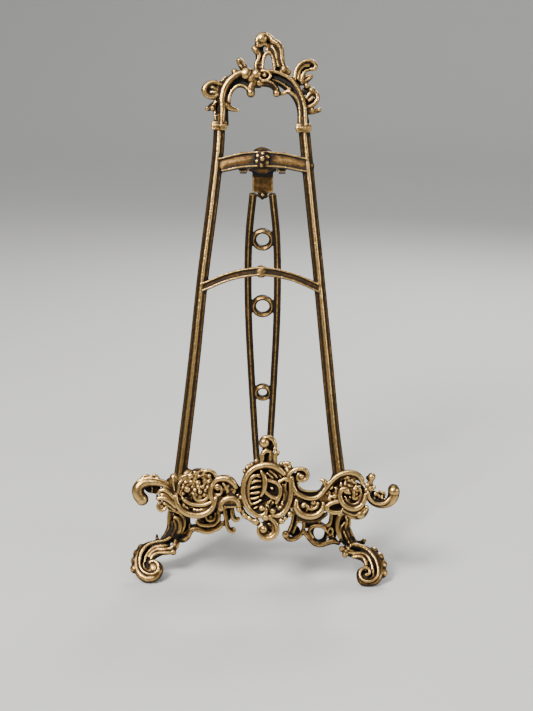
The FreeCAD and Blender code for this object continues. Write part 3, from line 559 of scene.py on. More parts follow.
# %% [markdown]
# The big scroll is the widest motif of the rail: an arch that rolls into a volute, with a broad
# ribbed leaf under it. The rail ends in an open hook with a ball.
# %% Big scroll and right hook
def rail_big_scroll(wax):
    floor(wax, (31.6, -0.2, 4.8), (35.3, -3.3, 5.3), (27.2, -2.2, 3.4), (27.6, -7.6, 3.2), top=-2.2)
    foliage(wax, 6, 34, 33.6, 1.4, 3.8, size=0.9, n=-1.2)
    foliage(wax, 7, 18, 27.2, -2.4, 2.6, size=0.85, n=-1.2)
    foliage(wax, 8, 14, 35.6, -3.0, 2.6, size=0.8, n=-1.3)
    roll(wax, (30.2, -5.7, 0.9), (27.8, -6, 0.95), (25.6, -6.9, 1.0), (24.5, -8.1, 1.0), (25, -9.4, 0.95),
         (26.9, -10.1, 0.95), (29.9, -10.2, 0.9), n=-0.4)
    roll(wax, (23.6, -1.4, 0.8), (25.9, 1.8, 1.0), (27.7, 3.7, 1.1), (29.9, 5.1, 1.15), (32.5, 5.8, 1.2),
         (35.1, 5.6, 1.2), (37, 4.7, 1.15), (38.2, 3.2, 1.1), (38.5, 1.7, 0.9), n=-0.3)
    line(wax, 0.4, -1.0, (25.8, -0.6), (27.2, 1.4), (29.4, 3.2), (31.4, 4.2))
    line(wax, 0.4, -0.9, (32, 3.6), (34.6, 4), (36.6, 2.8))
    roll(wax, (33.2, -2.3, 0.9), (32.4, -0.9, 1.2), (30.5, -1.0, 1.2), (29.6, -2.7, 1.1), (30, -5, 1.2),
         (31.2, -6.9, 1.2), (33.4, -8.3, 1.25), (35.9, -8.6, 1.2), (38, -7.5, 1.15), (39.3, -5.4, 1.1),
         (39.9, -3, 0.9), n=-0.3)
    wax.ball(32.4, -1.6, 1.5, -0.3, 1.4)
    line(wax, 0.42, -0.8, (31.7, -3.8), (32.6, -5.8), (34.8, -6.9), (37, -6.1), (38, -4), (38, -1.6),
         (37, 0.2))
    roll(wax, (34.6, -0.9, 0.6), (35.2, -2.6, 0.8), (35.2, -4.6, 0.7), (36.4, -4.9, 0.5), n=-0.9)
    wax.ball(27.6, -3.8, 1.2, -0.9)
    wax.ball(25.4, -4.7, 1.0, -0.9)
    leaf(wax, (30.4, -8.8, 1.0), (32.8, -10.1, 1.8), (35.6, -11, 2.2), (38.2, -10.8, 2.2),
         (39.9, -9.4, 1.6), (41, -7.6, 0.6), top=-0.2, thick=3.2, ribs=(-0.1, 0.6), rib=0.5)
    wax.ball(37.9, -11, 1.9, -0.9, 1.3)


def rail_right(wax):
    roll(wax, (42.4, 4.2, 1.5), (41.8, 2.4, 1.2), (41.4, 0.6, 1.1), n=-1.2)
    wax.ball(42.3, 4.1, 1.7, -1.2)
    wax.ball(40.9, 3.6, 1.0, -1.8)
    studs(wax, -0.8, 1.1, (40.5, 0.9, 1.1), (42, -0.5, 1.4), (40.3, -1.2, 1.2), (43.3, 0.1, 0.9))
    roll(wax, (41.2, -3, 1.2), (42.2, -5.4, 1.4), (44.4, -6.7, 1.5), (47, -6.9, 1.7), (49.4, -5.9, 2.0),
         (50.8, -4.2, 2.3), (51.2, -2.4, 2.4), (51.1, -0.9, 2.3), n=-1.6, deep=0.9)
    line(wax, 0.6, 0.0, (40.8, -2), (41.4, -4.3), (43.2, -5.9), (45.8, -6.5), (48, -5.8), (49.5, -4.2))
    wax.ball(51.2, -1.6, 2.5, -1.2, 2.2)
    floor(wax, (45.6, -4.4, 2.5), (43.4, -3, 1.5), top=-2.2)
    foliage(wax, 12, 22, 45.6, -3.9, 2.4, size=0.7, n=-1.3)


drawn(rail_wax, rail_big_scroll, rail_right)

# %% [markdown]
# ## The back frame
# The frame is one casting too: an open crest, two uprights, a lower bar with scrolled legs and
# two kicked-out feet. The crest is an arch of two scrolls over the opening, which spring from
# moulded collars on the uprights.
# %% Crest arch
def crest(wax):
    ground(wax, -1.9, (-20.6, 143, 3.0), (-20.9, 150, 3.0), (-20.4, 156, 2.8), (-18.2, 161, 2.6),
           (-14.4, 163.6, 2.4), (-10.5, 164.6, 2.4), (-6, 164.6, 2.4), (-1, 164, 2.2), (4, 162.4, 2.4),
           (8.4, 159.4, 2.6), (11.6, 155.6, 2.5), (13.4, 150.6, 2.3), (14, 143, 2.5))
    roll(wax, (-20.6, 142, 1.2), (-20.3, 149.8, 1.6), (-20.5, 154.2, 1.65), (-19.5, 158.5, 1.65),
         (-17.2, 162, 1.6), (-14, 164.5, 1.5), (-11.5, 165.2, 1.4), n=-0.7, deep=0.9)
    for u, w in ((-21.7, 142.6), (14.1, 141.8)):
        for step, half in ((-1.3, 0.7), (0, 1.0), (1.3, 0.7)):
            roll(wax, (u - 2.6, w + step, half), (u, w + step, half), (u + 2.6, w + step, half), n=-0.6)
    line(wax, 0.55, -1.3, (-23.2, 144), (-23.6, 151), (-23, 156), (-21.6, 160.4), (-19, 163.6))
    roll(wax, (-20.4, 152.8, 1.4), (-17.4, 150.4, 1.4), (-13.8, 149.2, 0.7), n=-1.0)
    roll(wax, (-17.6, 150.8, 0.8), (-17.5, 154.8, 0.85), (-16.2, 157.8, 0.85), (-13.8, 159.7, 0.9),
         (-11.2, 159.4, 0.9), (-9.3, 157.9, 1.0), n=-1.1)
    ground(wax, -2.4, (-18.2, 152, 1.2), (-18, 157, 1.5), (-14.6, 161, 1.8), (-10, 161.4, 2.2),
           (-4, 161.4, 2.2))
    wax.ball(-8.4, 156.8, 1.95, -1.8)
    roll(wax, (-8.4, 157, 1.6), (-8.2, 159.4, 1.8), (-7.1, 162, 2.1), n=-1.5, deep=0.8)
    roll(wax, (-4.8, 161, 1.5), (-1.7, 160.8, 1.5), (0.8, 160, 1.5), (2.4, 158.2, 1.5), (2.5, 156.6, 1.6),
         n=-1.5)
    line(wax, 0.45, 0.1, (-3.6, 161.6), (-1, 161.4), (1.4, 160.2), (2.8, 158.2))
    roll(wax, (3.6, 156.4, 0.7), (6.2, 157, 0.9), (8.2, 158.4, 1.0), n=-1.6)
    roll(wax, (8, 157.4, 0.8), (10.9, 155, 0.9), (12.2, 151.7, 0.8), (12.6, 143, 0.8), n=-1.0)
    roll(wax, (-2.6, 166, 0.8), (1.5, 165.6, 0.85), (5.3, 164.4, 0.9), (8.6, 162.4, 1.05),
         (11.3, 159.1, 1.15), (13.1, 155.4, 1.1), (14.4, 151, 1.1), (15, 143, 1.0), n=-0.5)
    line(wax, 0.4, -1.5, (0.6, 162.6), (4.6, 161), (8, 158.6))
    for u, w, radius, rise in ((-10.3, 164.8, 2.8, 1.8), (-6.1, 164.6, 2.4, 1.8), (-15.4, 165.6, 1.4, 1.2),
                               (-8, 163, 2.2, 1.4)):
        wax.ball(u, w, radius, -0.8, rise)
    roll(wax, (-3.8, 165.9, 0.6), (-1.4, 165.5, 0.75), (-0.1, 164, 0.8), (-1, 162.3, 0.8),
         (-3.2, 161.7, 0.75), (-4.6, 162.8, 0.7), n=-0.2)
    wax.ball(-2.6, 164, 1.0, -0.5)
    leaf(wax, (-10.6, 166.2, 1.7), (-12.3, 168.8, 1.7), (-13.7, 170.8, 1.2), top=-0.8, thick=3.2,
         ribs=(-0.5, 0.4), rib=0.8)
    wax.ball(-13.4, 170.4, 1.4, -1.5)


frame_wax = Wax(on_frame)
drawn(frame_wax, crest)

# %% [markdown]
# Three ornaments stand on the arch. On the left is a curl with two short ribs in it and a leaf
# below, and in the middle an open finial with a hood on top.
# %% Left curl and finial of the crest
def crest_left_curl(wax):
    wax.ball(-25, 157.8, 3.3, -2.4, 1.2)
    roll(wax, (-20.8, 160, 0.9), (-23.3, 161, 1.1), (-26.2, 160.4, 1.3), (-28, 158, 1.5), (-26.8, 155.6, 1.3),
         (-24.2, 154.8, 1.1), (-22.4, 155.6, 0.9), n=-1.0)
    roll(wax, (-26, 158.8, 0.5), (-24.4, 158.8, 0.8), (-22.8, 158, 0.7), n=-0.9)
    roll(wax, (-25.4, 157, 0.5), (-24, 156.8, 0.7), (-22.6, 156.8, 0.6), n=-0.9)
    leaf(wax, (-22.8, 153, 1.1), (-24.6, 151.3, 1.6), (-27, 149.9, 0.9), top=-0.8, thick=3, ribs=(0,),
         rib=0.6)
    beads(wax, (-26.8, 149.8, 0.9), (-24.6, 150, 1.0), n=-0.6)


def crest_finial(wax):
    ground(wax, -2.0, (-5.2, 165, 2.0), (-5.2, 169, 1.7), (-4.6, 172.6, 2.0), (-5.2, 176, 2.0),
           (-4, 179.6, 2.4), (-0.8, 178.8, 2.6), (2.2, 175.4, 2.6), (3.3, 171.4, 2.0), (4, 168, 2.0),
           (5.2, 165.4, 2.2), (8, 163, 1.4))
    roll(wax, (-6, 165.4, 0.9), (-6.3, 168.4, 0.95), (-5.4, 171, 0.9), (-5.2, 173, 1.1), (-6.2, 174.5, 1.4),
         (-7.1, 175.5, 1.3), n=-0.8)
    roll(wax, (-3.4, 166, 0.65), (-3.3, 170.2, 0.75), (-2.2, 173, 0.85), (-0.6, 173.7, 0.85), (0.7, 172, 0.8),
         (1.3, 169, 0.75), (1.7, 166.2, 0.65), n=-0.6)
    wax.ball(-3.8, 179.8, 2.5, -1.0, 1.8)
    roll(wax, (-5.4, 176.6, 1.0), (-5.9, 178.8, 1.1), (-4.8, 180.9, 1.1), (-2.6, 181.4, 1.1),
         (-0.6, 180.3, 1.2), (0.9, 178.6, 1.4), (2.8, 177.3, 1.5), (4.1, 175.2, 1.4), (4.5, 172.6, 1.2),
         (4.8, 170, 1.1), (5.8, 167.4, 1.0), n=-0.8)
    roll(wax, (-4.6, 176.6, 0.7), (-3, 177.6, 0.9), (-1.6, 176.8, 0.8), (-1.4, 175.2, 0.6), n=-0.9)
    roll(wax, (0.6, 176, 0.9), (2, 173.8, 1.0), (2.6, 171, 0.9), (3.2, 168.2, 0.8), n=-0.9)
    foliage(wax, 21, 14, -1, 176, 2.0, size=0.8, n=-1.2)
    foliage(wax, 22, 10, -4.6, 168.6, 1.4, size=0.7, n=-1.1)
    roll(wax, (4.4, 165.2, 1.3), (5.8, 167, 1.6), (7.4, 165.6, 1.3), n=-1.0)
    wax.ball(5.6, 166.6, 1.8, -1.0)


drawn(frame_wax, crest_left_curl, crest_finial)

# %% [markdown]
# On the right a scroll rises and rolls inward, with a leaf, two knobs and a smaller scroll below.
# %% Right side of the crest
def crest_right(wax):
    ground(wax, -1.9, (10.6, 160, 1.8), (11.8, 164.6, 2.0), (13.6, 167.8, 2.0), (16.4, 168.6, 1.8),
           (18, 167.6, 1.3))
    roll(wax, (10.2, 160.4, 0.8), (10.2, 163.6, 0.85), (10.6, 166.2, 0.85), (12.3, 168.7, 0.9),
         (14.9, 170.2, 0.95), (17.6, 169.9, 1.0), (19, 168.2, 1.0), (18.3, 166.8, 0.9), (16.8, 166.8, 0.7),
         n=-0.6)
    roll(wax, (11.9, 162.6, 0.7), (11.9, 165.6, 0.75), (13.7, 168, 0.75), (16.2, 168.5, 0.6), n=-0.9)
    roll(wax, (13.3, 161.8, 0.7), (13.5, 164.3, 0.8), (15, 166.2, 0.7), (16.6, 166.5, 0.5), n=-1.0)
    leaf(wax, (12.6, 161, 1.2), (15.2, 162.9, 1.5), (17.8, 164.4, 0.7), top=-0.8, thick=3, ribs=(-0.4, 0.5),
         rib=0.55)
    ground(wax, -2.0, (13.4, 158, 1.5), (15.4, 157.8, 1.4), (17.4, 157, 1.4))
    ground(wax, -2.2, (14.4, 152, 1.6), (16.6, 153.6, 2.2), (18, 155.4, 1.8))
    wax.ball(15.4, 159.9, 1.4, -1.4)
    wax.ball(17.4, 157.9, 1.6, -1.2)
    roll(wax, (15.3, 154.6, 0.8), (16.6, 156.4, 0.95), (18.8, 157, 1.0), (19.9, 155, 1.05),
         (19.2, 152.8, 1.0), (17.4, 151.3, 1.0), (15.4, 150.6, 0.9), n=-0.9)
    roll(wax, (16.2, 153.4, 0.6), (17.4, 154.4, 0.75), (17.9, 155.6, 0.5), n=-1.0)
    roll(wax, (14.6, 148.6, 1.0), (17.8, 148.9, 1.1), (20.6, 149.6, 1.0), n=-1.5)
    beads(wax, (17.8, 149.5, 0.9), (20.6, 149.8, 0.9), n=-0.7)


drawn(frame_wax, crest_right)

# %% [markdown]
# The uprights stand behind the dish that the stand carries. They are plain cast bars with a
# raised rib, tied by the hinge bar, a cross bar and two bosses for the rail's arms.
# %% Uprights and bars
def uprights(wax):
    left = ((-21.6, 147, 2.5), (-22, 134, 2.5), (-24.4, 110, 2.5), (-28.2, 78, 2.5), (-31.4, 44, 2.6),
            (-34.6, 14, 2.7), (-37.2, -8, 2.8), (-39, -20, 2.9))
    right = ((14, 146, 2.5), (15.2, 134, 2.5), (17.8, 110, 2.5), (21.4, 78, 2.5), (25, 44, 2.6),
             (28.2, 14, 2.6), (31, -8, 2.8), (32.6, -21, 2.9))
    for bar in (left, right):
        band(wax, *bar, thick=FRAME_THICK, rims=(), hollow=0.9)
        spine = [(u, w, 1.1) for u, w, _ in bar]
        roll(wax, *spine, n=-1.1)
    band(wax, (-21, 126, 3.0), (-12, 128, 3.2), (CENTRE, 128.6, 3.4), (6, 128, 3.2), (16, 126, 3.0), thick=5)
    wax.ball(CENTRE, 128.4, 5.8, -2.6, 2.5, rings=10, sides=24)
    flower(wax, CENTRE, 128.4, 3.6, 6, n=-0.2)
    band(wax, (-28.4, 74, 1.8), (-16, 79, 1.8), (CENTRE, 81, 1.9), (9.5, 79, 1.8), (21.8, 74, 1.8), thick=5)
    wax.ball(CENTRE, 81, 2.8, -1.2, 1.4)
    for u in (-34.5, 31.5):
        wax.ball(u, -7.38, 4.6, -2.6, 2.4, rings=10, sides=24)


drawn(frame_wax, uprights)

# %% [markdown]
# Each leg below the lower bar is a sunk strip with a few long strokes that follow it down, like
# the folds of a leaf. The left and the right leg are not mirror images, so each is drawn.
# %% Lower bar and left leg
def lower_bar(wax):
    band(wax, (-38, -14, 3.2), (-20, -16, 3.4), (-3, -15.6, 3.4), (14, -16.2, 3.4), (32, -14, 3.2), thick=5)


def left_leg(wax):
    ground(wax, -2.4, (-38.6, -16, 2.6), (-38.3, -21, 3.3), (-38.4, -26, 3.5), (-39.4, -30.4, 3.3),
           (-41.6, -34, 2.6), bottom=-5)
    line(wax, 0.6, -0.8, (-40.6, -20.6), (-38.2, -21.3), (-36.2, -22.3), (-35, -24.2), (-34.8, -26.6),
         (-35.4, -29), (-36.8, -31.4))
    line(wax, 0.95, -0.6, (-38.8, -23.6), (-37.2, -24.5), (-36.6, -26.4), (-36.8, -28.8), (-38, -31),
         (-39.6, -32.8), (-41.8, -34.4))
    line(wax, 0.5, -0.4, (-39.2, -24.8), (-38.4, -27), (-38.8, -29.4), (-40.2, -31.6), (-42.4, -33.6))
    line(wax, 0.45, -1.0, (-40, -25.6), (-39.9, -28.2), (-40.7, -30.2), (-42.6, -32.2))
    line(wax, 0.8, -1.6, (-41.2, -20.6), (-41.4, -24), (-41.5, -28), (-42.6, -30.8), (-44.4, -33))
    line(wax, 0.35, -1.2, (-40.4, -22.2), (-40.6, -24.4))
    wax.ball(-39.4, -22.6, 0.7, -1.4)


drawn(frame_wax, lower_bar, left_leg)

# %% [markdown]
# Open scrolls hang from the lower bar beside each leg. They stay thin, so that the table can
# be seen through them.
# %% Scrolls beside the left leg
def left_apron(wax):
    ground(wax, -2.4, (-36, -20.6, 2.0), (-30, -21.2, 2.0), (-25, -20.6, 1.6), (-19, -20.6, 2.0), bottom=-5)
    ground(wax, -2.4, (-36.6, -31, 1.7), (-33.8, -29.8, 1.9), (-31, -27.9, 1.1), (-28, -27.8, 1.3),
           (-25, -28, 1.5), (-22, -27.5, 1.3), (-19.6, -26, 0.9), bottom=-5)
    ground(wax, -2.4, (-34.4, -20, 1.6), (-34, -24, 1.5), (-33.8, -29, 1.8), bottom=-5)
    line(wax, 0.95, -1.0, (-37.4, -32.8), (-36, -33.4), (-34.4, -33), (-33.2, -31.8), (-32.5, -30.2),
         (-31.7, -29), (-30.5, -28.5), (-28.5, -28.8), (-26.5, -29.5), (-24.5, -29.6), (-22.5, -28.9),
         (-20.6, -28), (-19.3, -26.9), (-18.6, -25.8))
    line(wax, 0.5, -1.2, (-36.6, -30.8), (-35, -30.5), (-33.8, -29.8), (-32.8, -28.4), (-32.6, -26.6))
    line(wax, 0.4, -1.6, (-36, -32), (-34.8, -31.8), (-33.9, -31))
    leaf(wax, (-29, -23.4, 0.8), (-28, -25, 1.4), (-26.6, -25.4, 0.7), top=-1.0, thick=3, ribs=(0,))
    line(wax, 0.75, -0.9, (-29.6, -25.4), (-28, -26.6), (-25, -27), (-22, -26.5), (-20.5, -24.8),
         (-20, -22.6), (-20.4, -20.8))
    floor(wax, (-24, -24.4, 3.2), top=-2.6, bottom=-4.6)
    line(wax, 0.5, -1.0, (-26, -22.6), (-24.8, -24.8), (-22.8, -24.8), (-21.6, -23.4), (-21.8, -21.8))
    wax.ball(-23.6, -23.6, 0.8, -1.4)
    beads(wax, (-24.6, -28.1, 0.65), (-23.1, -28.1, 0.7), (-21.6, -27.6, 0.7), (-20.3, -26.6, 0.65), n=-1.0)
    ground(wax, -2.2, (-17.6, -18, 1.8), (-16.9, -22, 1.7), (-16.4, -25, 1.1), bottom=-4.6)
    line(wax, 0.85, -0.9, (-17.8, -19), (-17.4, -22), (-16.9, -25), (-16.3, -27.6), (-15.2, -29),
         (-14, -29.3), (-13.6, -28.7))
    wax.ball(-14.1, -28.6, 1.2, -1.5)
    line(wax, 1.0, -1.6, (-14.8, -18.6), (-14.5, -21.8), (-13.9, -23.8), (-12.8, -24.5), (-12, -24.1))


drawn(frame_wax, left_apron)

# %% [markdown]
# The right leg is narrower than the left one, and a short thorn with a bead on its tip stands
# out of its lower end.
# %% Right leg
def right_leg(wax):
    ground(wax, -2.6, (32.4, -17, 2.4), (32.6, -22, 2.7), (32.4, -27, 2.5), (33.4, -31, 2.4),
           (35.6, -34.6, 2.0), bottom=-5)
    line(wax, 0.9, -0.7, (33.4, -20.4), (31, -22.2), (30.2, -24.8), (30.2, -27.6), (30.9, -30),
         (32.3, -32.3), (34.6, -34.6), (36, -35.4))
    line(wax, 0.5, -0.5, (33, -25), (31.5, -27), (31.3, -29), (31.9, -31), (33.3, -33), (35.2, -34.8))
    line(wax, 0.5, -0.9, (33.4, -22), (34, -24.4), (33.6, -27), (33.9, -30), (35, -32.4), (36.8, -34.2))
    line(wax, 0.6, -1.4, (35.3, -20.8), (35.2, -25), (34.9, -28), (35.2, -30.4), (36.5, -32.8), (38.4, -34.6))
    wax.ball(31.9, -23.6, 0.7, -1.4)
    wax.ball(41.2, -33.4, 1.0, -1.8)
    line(wax, 0.9, -2.4, (37, -34.8), (38.8, -34), (40.6, -33.8))


drawn(frame_wax, right_leg)

# %% [markdown]
# The scrolls beside the right leg hold an oval ring, and a broad hook with a ball hangs inside.
# %% Scrolls beside the right leg
def right_apron(wax):
    ground(wax, -2.4, (17.6, -20, 1.8), (17.8, -24, 1.4), (17.6, -28, 1.2), bottom=-4.8)
    ground(wax, -2.4, (28.6, -19, 1.9), (28.6, -24, 1.7), (28.4, -28.6, 1.8), (28, -31.6, 1.8), bottom=-5)
    wax.sweep(smooth(circle(22.4, -29.8, 3.2, 1.0, tall=3.8, count=25)), -2.2, -4.8, boxy=2.6)
    line(wax, 0.7, -1.0, (19.8, -31.6), (18.6, -30.2), (18.2, -28.6), (19.4, -27), (21.8, -26.6), (24, -27),
         (25.2, -28.6))
    line(wax, 0.95, -1.0, (15.8, -29.2), (16.8, -29.9), (17.8, -31.2), (19.2, -32.9), (20.6, -34),
         (22.6, -34.6), (24.6, -34.2), (26.6, -33.5), (28.6, -33.1), (30.6, -33.8))
    line(wax, 0.5, -1.2, (26, -29.6), (26.3, -28.2), (27.2, -27.5), (28.1, -28.1), (28.1, -29.8))
    beads(wax, (27.1, -30.4, 0.6), (28.3, -31, 0.65), (27.2, -32.1, 0.6), (29.4, -32.3, 0.6),
          (25.8, -31.2, 0.5), n=-1.4)
    line(wax, 0.8, -1.6, (20.4, -19.6), (21.6, -22), (22.4, -24.4), (22.2, -26.4))
    line(wax, 0.8, -1.6, (27.4, -20), (27.4, -23.6), (26.6, -26), (24.8, -26.8), (22.8, -26.8))
    ground(wax, -2.8, (18.6, -21, 1.8), (20.4, -24.6, 1.7), (20, -26.8, 1.4), bottom=-4.8)
    ground(wax, -2.2, (12.8, -17, 1.8), (12.4, -22, 1.7), (11.6, -26, 1.5), (10.2, -29.4, 1.4), bottom=-4.6)
    line(wax, 0.5, -0.9, (11.6, -20), (11, -24), (10.2, -27.4), (9.4, -29.2))
    line(wax, 0.45, -1.0, (13.4, -20), (13.2, -24), (12.2, -27.4), (11.4, -29.6))
    roll(wax, (15, -20, 0.9), (15.8, -25, 0.9), (15.7, -28, 0.9), (14.4, -30.6, 1.0), (12, -32.2, 1.1),
         (9.6, -32.3, 1.2), (8, -31, 1.2), n=-1.4)
    wax.ball(14.5, -24.6, 1.0, -1.0)
    wax.ball(8.3, -30.4, 1.75, -1.6)
    floor(wax, (12, -29.4, 2.6), top=-3.0, bottom=-4.6)


drawn(frame_wax, right_apron)

# %% [markdown]
# The feet kick forward on their own steeper slope. Each is a volute with four round shells
# outside and leaves inside, and its underside is ground flat to stand on the table.
# %% Foot and ankle
def foot(wax, rim, body, shells, leaves):
    """One foot: a bevelled outer band with a sharp inner rim, shells outside and leaves inside."""
    wax.sweep(smooth(body), FOOT_HALF - 0.7, -FOOT_HALF, boxy=2.4, sides=18)
    roll(wax, *rim, n=FOOT_HALF - 0.7)
    for u, w, radius in shells:
        wax.ball(u, w, radius, -0.5, 1.7, rings=10, sides=20)
    for half, *stroke in leaves:
        line(wax, half, 0.9, *stroke)


def ankle(wax, *path):
    ground(wax, 0.6, *[(u, w, 2.3) for u, w in path], bottom=-FOOT_HALF)
    for shift in (-1.5, 0, 1.5):
        line(wax, 0.5, 1.0, *[(u + shift, w) for u, w in path])


print("half thickness of a foot in mm:", FOOT_HALF)

# %% [markdown]
# The left foot's volute closes round a small boss, and a thorn stands on its back.
# %% Left foot
def left_foot(wax):
    wax.slope = on_foot
    rim = ((-40.6, 19.6, 0.7), (-42.6, 18.3, 0.65), (-46.6, 17.4, 0.7), (-49.2, 16.4, 0.8),
           (-51.2, 14.6, 0.85), (-52.3, 12.2, 0.8), (-52.6, 9.4, 0.7), (-52.2, 6.6, 0.65), (-51, 4.8, 0.65),
           (-49, 3.6, 0.65), (-46.8, 3.5, 0.65), (-45, 4.6, 0.7), (-44.5, 6.6, 0.75), (-45.4, 8.5, 0.8),
           (-47.2, 9.1, 0.8), (-48.5, 8.3, 0.6))
    body = ((-40, 21, 2.0), (-43, 18.2, 1.3), (-47.6, 17.2, 1.4), (-51.3, 15.4, 1.7), (-53.2, 12.4, 1.8),
            (-53.7, 9, 1.8), (-53.1, 5.8, 1.8), (-51.4, 3.4, 1.9), (-48.6, 2.1, 1.7), (-45.8, 2.8, 1.6),
            (-44.1, 5, 1.4), (-44.2, 7.4, 1.2), (-45.8, 9, 1.0))
    shells = ((-52.6, 15.4, 1.8), (-53.8, 12.8, 2.2), (-54.4, 9.8, 2.3), (-54.4, 6.5, 2.3))
    leaves = ((0.8, (-39.8, 13), (-42.4, 12.9), (-45.2, 12.7), (-47.2, 11.6), (-48, 10.2)),
              (0.62, (-40.8, 14.8), (-43, 14.6), (-45.6, 14.4), (-47.8, 13.1), (-49, 11.2)),
              (0.5, (-41.8, 16.3), (-44, 16), (-46.6, 15.5), (-48.8, 13.9), (-50.2, 11.4), (-50.7, 8.8)),
              (0.7, (-38.2, 18.4), (-38.8, 16.2), (-40.4, 14.8)),
              (0.42, (-51, 8), (-50.4, 6.2), (-49.2, 5.2), (-47.6, 4.8), (-46.2, 5.3)))
    foot(wax, rim, body, shells, leaves)
    ground(wax, -0.3, (-40.4, 17, 1.9), (-43, 15.4, 2.3), (-46.4, 14, 2.6), (-49.4, 11.4, 2.4),
           (-50.4, 8, 2.0), (-49, 5.6, 1.8), bottom=-FOOT_HALF)
    wax.ball(-46.7, 6.4, 2.2, 0.6, 1.4, rings=10, sides=20)
    line(wax, 0.36, 1.4, (-47.9, 7.4), (-46.4, 7.8), (-45.5, 6.8), (-46, 5.5), (-47.2, 5.5), (-47.5, 6.5))
    wax.ball(-38.9, 13.5, 1.4, 0.4)
    line(wax, 0.6, 0.4, (-37.4, 18.2), (-37.1, 16.8), (-37.6, 15.4))
    ground(wax, 0.2, (-38.4, 20, 1.4), (-38, 17.4, 1.2), (-38.9, 15, 1.1), bottom=-FOOT_HALF)
    roll(wax, (-46.4, 21.2, 0.5), (-46.2, 19.6, 0.85), (-45.4, 18, 1.1), n=-0.2)
    ground(wax, -0.2, (-45.4, 17.8, 0.9), (-43, 19.4, 1.1), (-41, 21, 1.3), bottom=-FOOT_HALF)
    ankle(wax, (-42.6, 18.6), (-40.6, 22), (-39, 26.4))


drawn(frame_wax, left_foot)

# %% [markdown]
# The right foot's volute closes round a flat boss with a bead on it. More beads sit beside its
# ankle.
# %% Right foot
def right_foot(wax):
    wax.slope = on_foot
    rim = ((35.2, 16.6, 0.6), (36, 17.3, 0.75), (38, 17.2, 0.85), (40.2, 16.6, 0.85), (42.2, 15.4, 0.85),
           (44.2, 13.4, 0.85), (45.7, 11, 0.8), (46.5, 8.4, 0.7), (46.7, 6, 0.65), (46.1, 3.8, 0.65),
           (44.6, 2.2, 0.65), (42.4, 1.6, 0.7), (40.2, 2.2, 0.7), (39.1, 4, 0.75), (39.3, 6, 0.8),
           (40.8, 7.2, 0.85), (42.8, 6.7, 0.8), (43, 5.2, 0.65), (41.9, 4.1, 0.6))
    body = ((35, 17.2, 1.3), (38.4, 17, 1.5), (41.6, 15.8, 1.7), (44.6, 13.6, 1.9), (46.6, 11, 2.0),
            (47.4, 7.8, 1.8), (47.1, 4.8, 1.8), (45.6, 2.6, 1.7), (42.8, 1.5, 1.4), (40, 2.1, 1.5),
            (38.9, 4.2, 1.2), (39.2, 6.2, 1.2), (40.8, 7.2, 1.0))
    shells = ((45.2, 15.4, 1.9), (47.2, 12.7, 2.4), (48.3, 9.6, 2.5), (48.4, 6.1, 2.4))
    leaves = ((0.62, (34.4, 13.9), (37, 13.8), (39.6, 13.9), (41.6, 13.4), (43, 11.9), (43.9, 9.8),
               (44.4, 7.6), (44.5, 5.4)),
              (0.85, (36.6, 12.2), (38.6, 12.4), (40.4, 11.9), (41.4, 10.6), (41.8, 8.9)),
              (0.5, (33.8, 16.6), (35, 15.2), (36.6, 14.8)),
              (0.42, (44.9, 4.6), (44.2, 3.4), (42.8, 2.7), (41.3, 3.1), (40.7, 4.4)))
    foot(wax, rim, body, shells, leaves)
    wax.ball(41.8, 4.5, 0.95, 1.2, 1.1)
    ground(wax, -0.3, (34.6, 14.6, 1.3), (37.4, 14.2, 2.0), (40.6, 13.4, 2.3), (43.2, 11, 2.2),
           (44.4, 7.6, 1.9), (43.6, 4.8, 1.6), bottom=-FOOT_HALF)
    wax.ball(42, 4.4, 2.8, -1.0, 1.2)
    beads(wax, (31.9, 15.8, 1.15), (33.7, 14.7, 0.9), (33.1, 13.3, 1.15), (34.6, 15.8, 0.8), n=0.9)
    ground(wax, 0.2, (32, 15.6, 1.0), (34, 16.6, 1.5), (35, 19, 1.4), bottom=-FOOT_HALF)
    ground(wax, 0.2, (36.8, 19.2, 1.1), (38.8, 18.9, 1.1), (41, 19.4, 0.9), bottom=-FOOT_HALF)
    wax.ball(41.3, 19.6, 1.05, 0.4)
    ankle(wax, (36.6, 18), (35, 21.6), (33.2, 26.4))


drawn(frame_wax, right_foot)

# %% [markdown]
# ## The hinge's ears and the strut
# The hinge needs real holes for its pin, and wax that melts together would close them. So the
# ears are thick tubes with the hole left open, held to the frame by small bricks.
# %% Ears on the frame
PIN_HOLE = 1.35
EAR_INNER = 6.9
EAR_THICK = 3.0
EAR_RADIUS = 4.2


def tube(wax, u_from, u_to, w, n, outer, inner, sides=40):
    """A short tube that lies along u, with an open hole."""
    points = []
    for u in (u_from, u_to):
        for radius in (outer, inner):
            for k in range(sides):
                turn = 2 * math.pi * k / sides
                points.append((u, w + radius * math.cos(turn), n + radius * math.sin(turn)))
    faces = []
    for k in range(sides):
        after = (k + 1) % sides
        for a, b in ((0, 1), (1, 3), (3, 2), (2, 0)):
            faces.append((a * sides + k, a * sides + after, b * sides + after, b * sides + k))
    wax.add(points, faces)


def brick(wax, u, w, n, size_u, size_w, size_n):
    """A box by its middle and sizes."""
    signs = [(a, b, c) for a in (-0.5, 0.5) for b in (-0.5, 0.5) for c in (-0.5, 0.5)]
    points = [(u + a * size_u, w + b * size_w, n + c * size_n) for a, b, c in signs]
    wax.add(points, [(0, 1, 3, 2), (4, 6, 7, 5), (0, 4, 5, 1), (2, 3, 7, 6), (0, 2, 6, 4), (1, 5, 7, 3)])


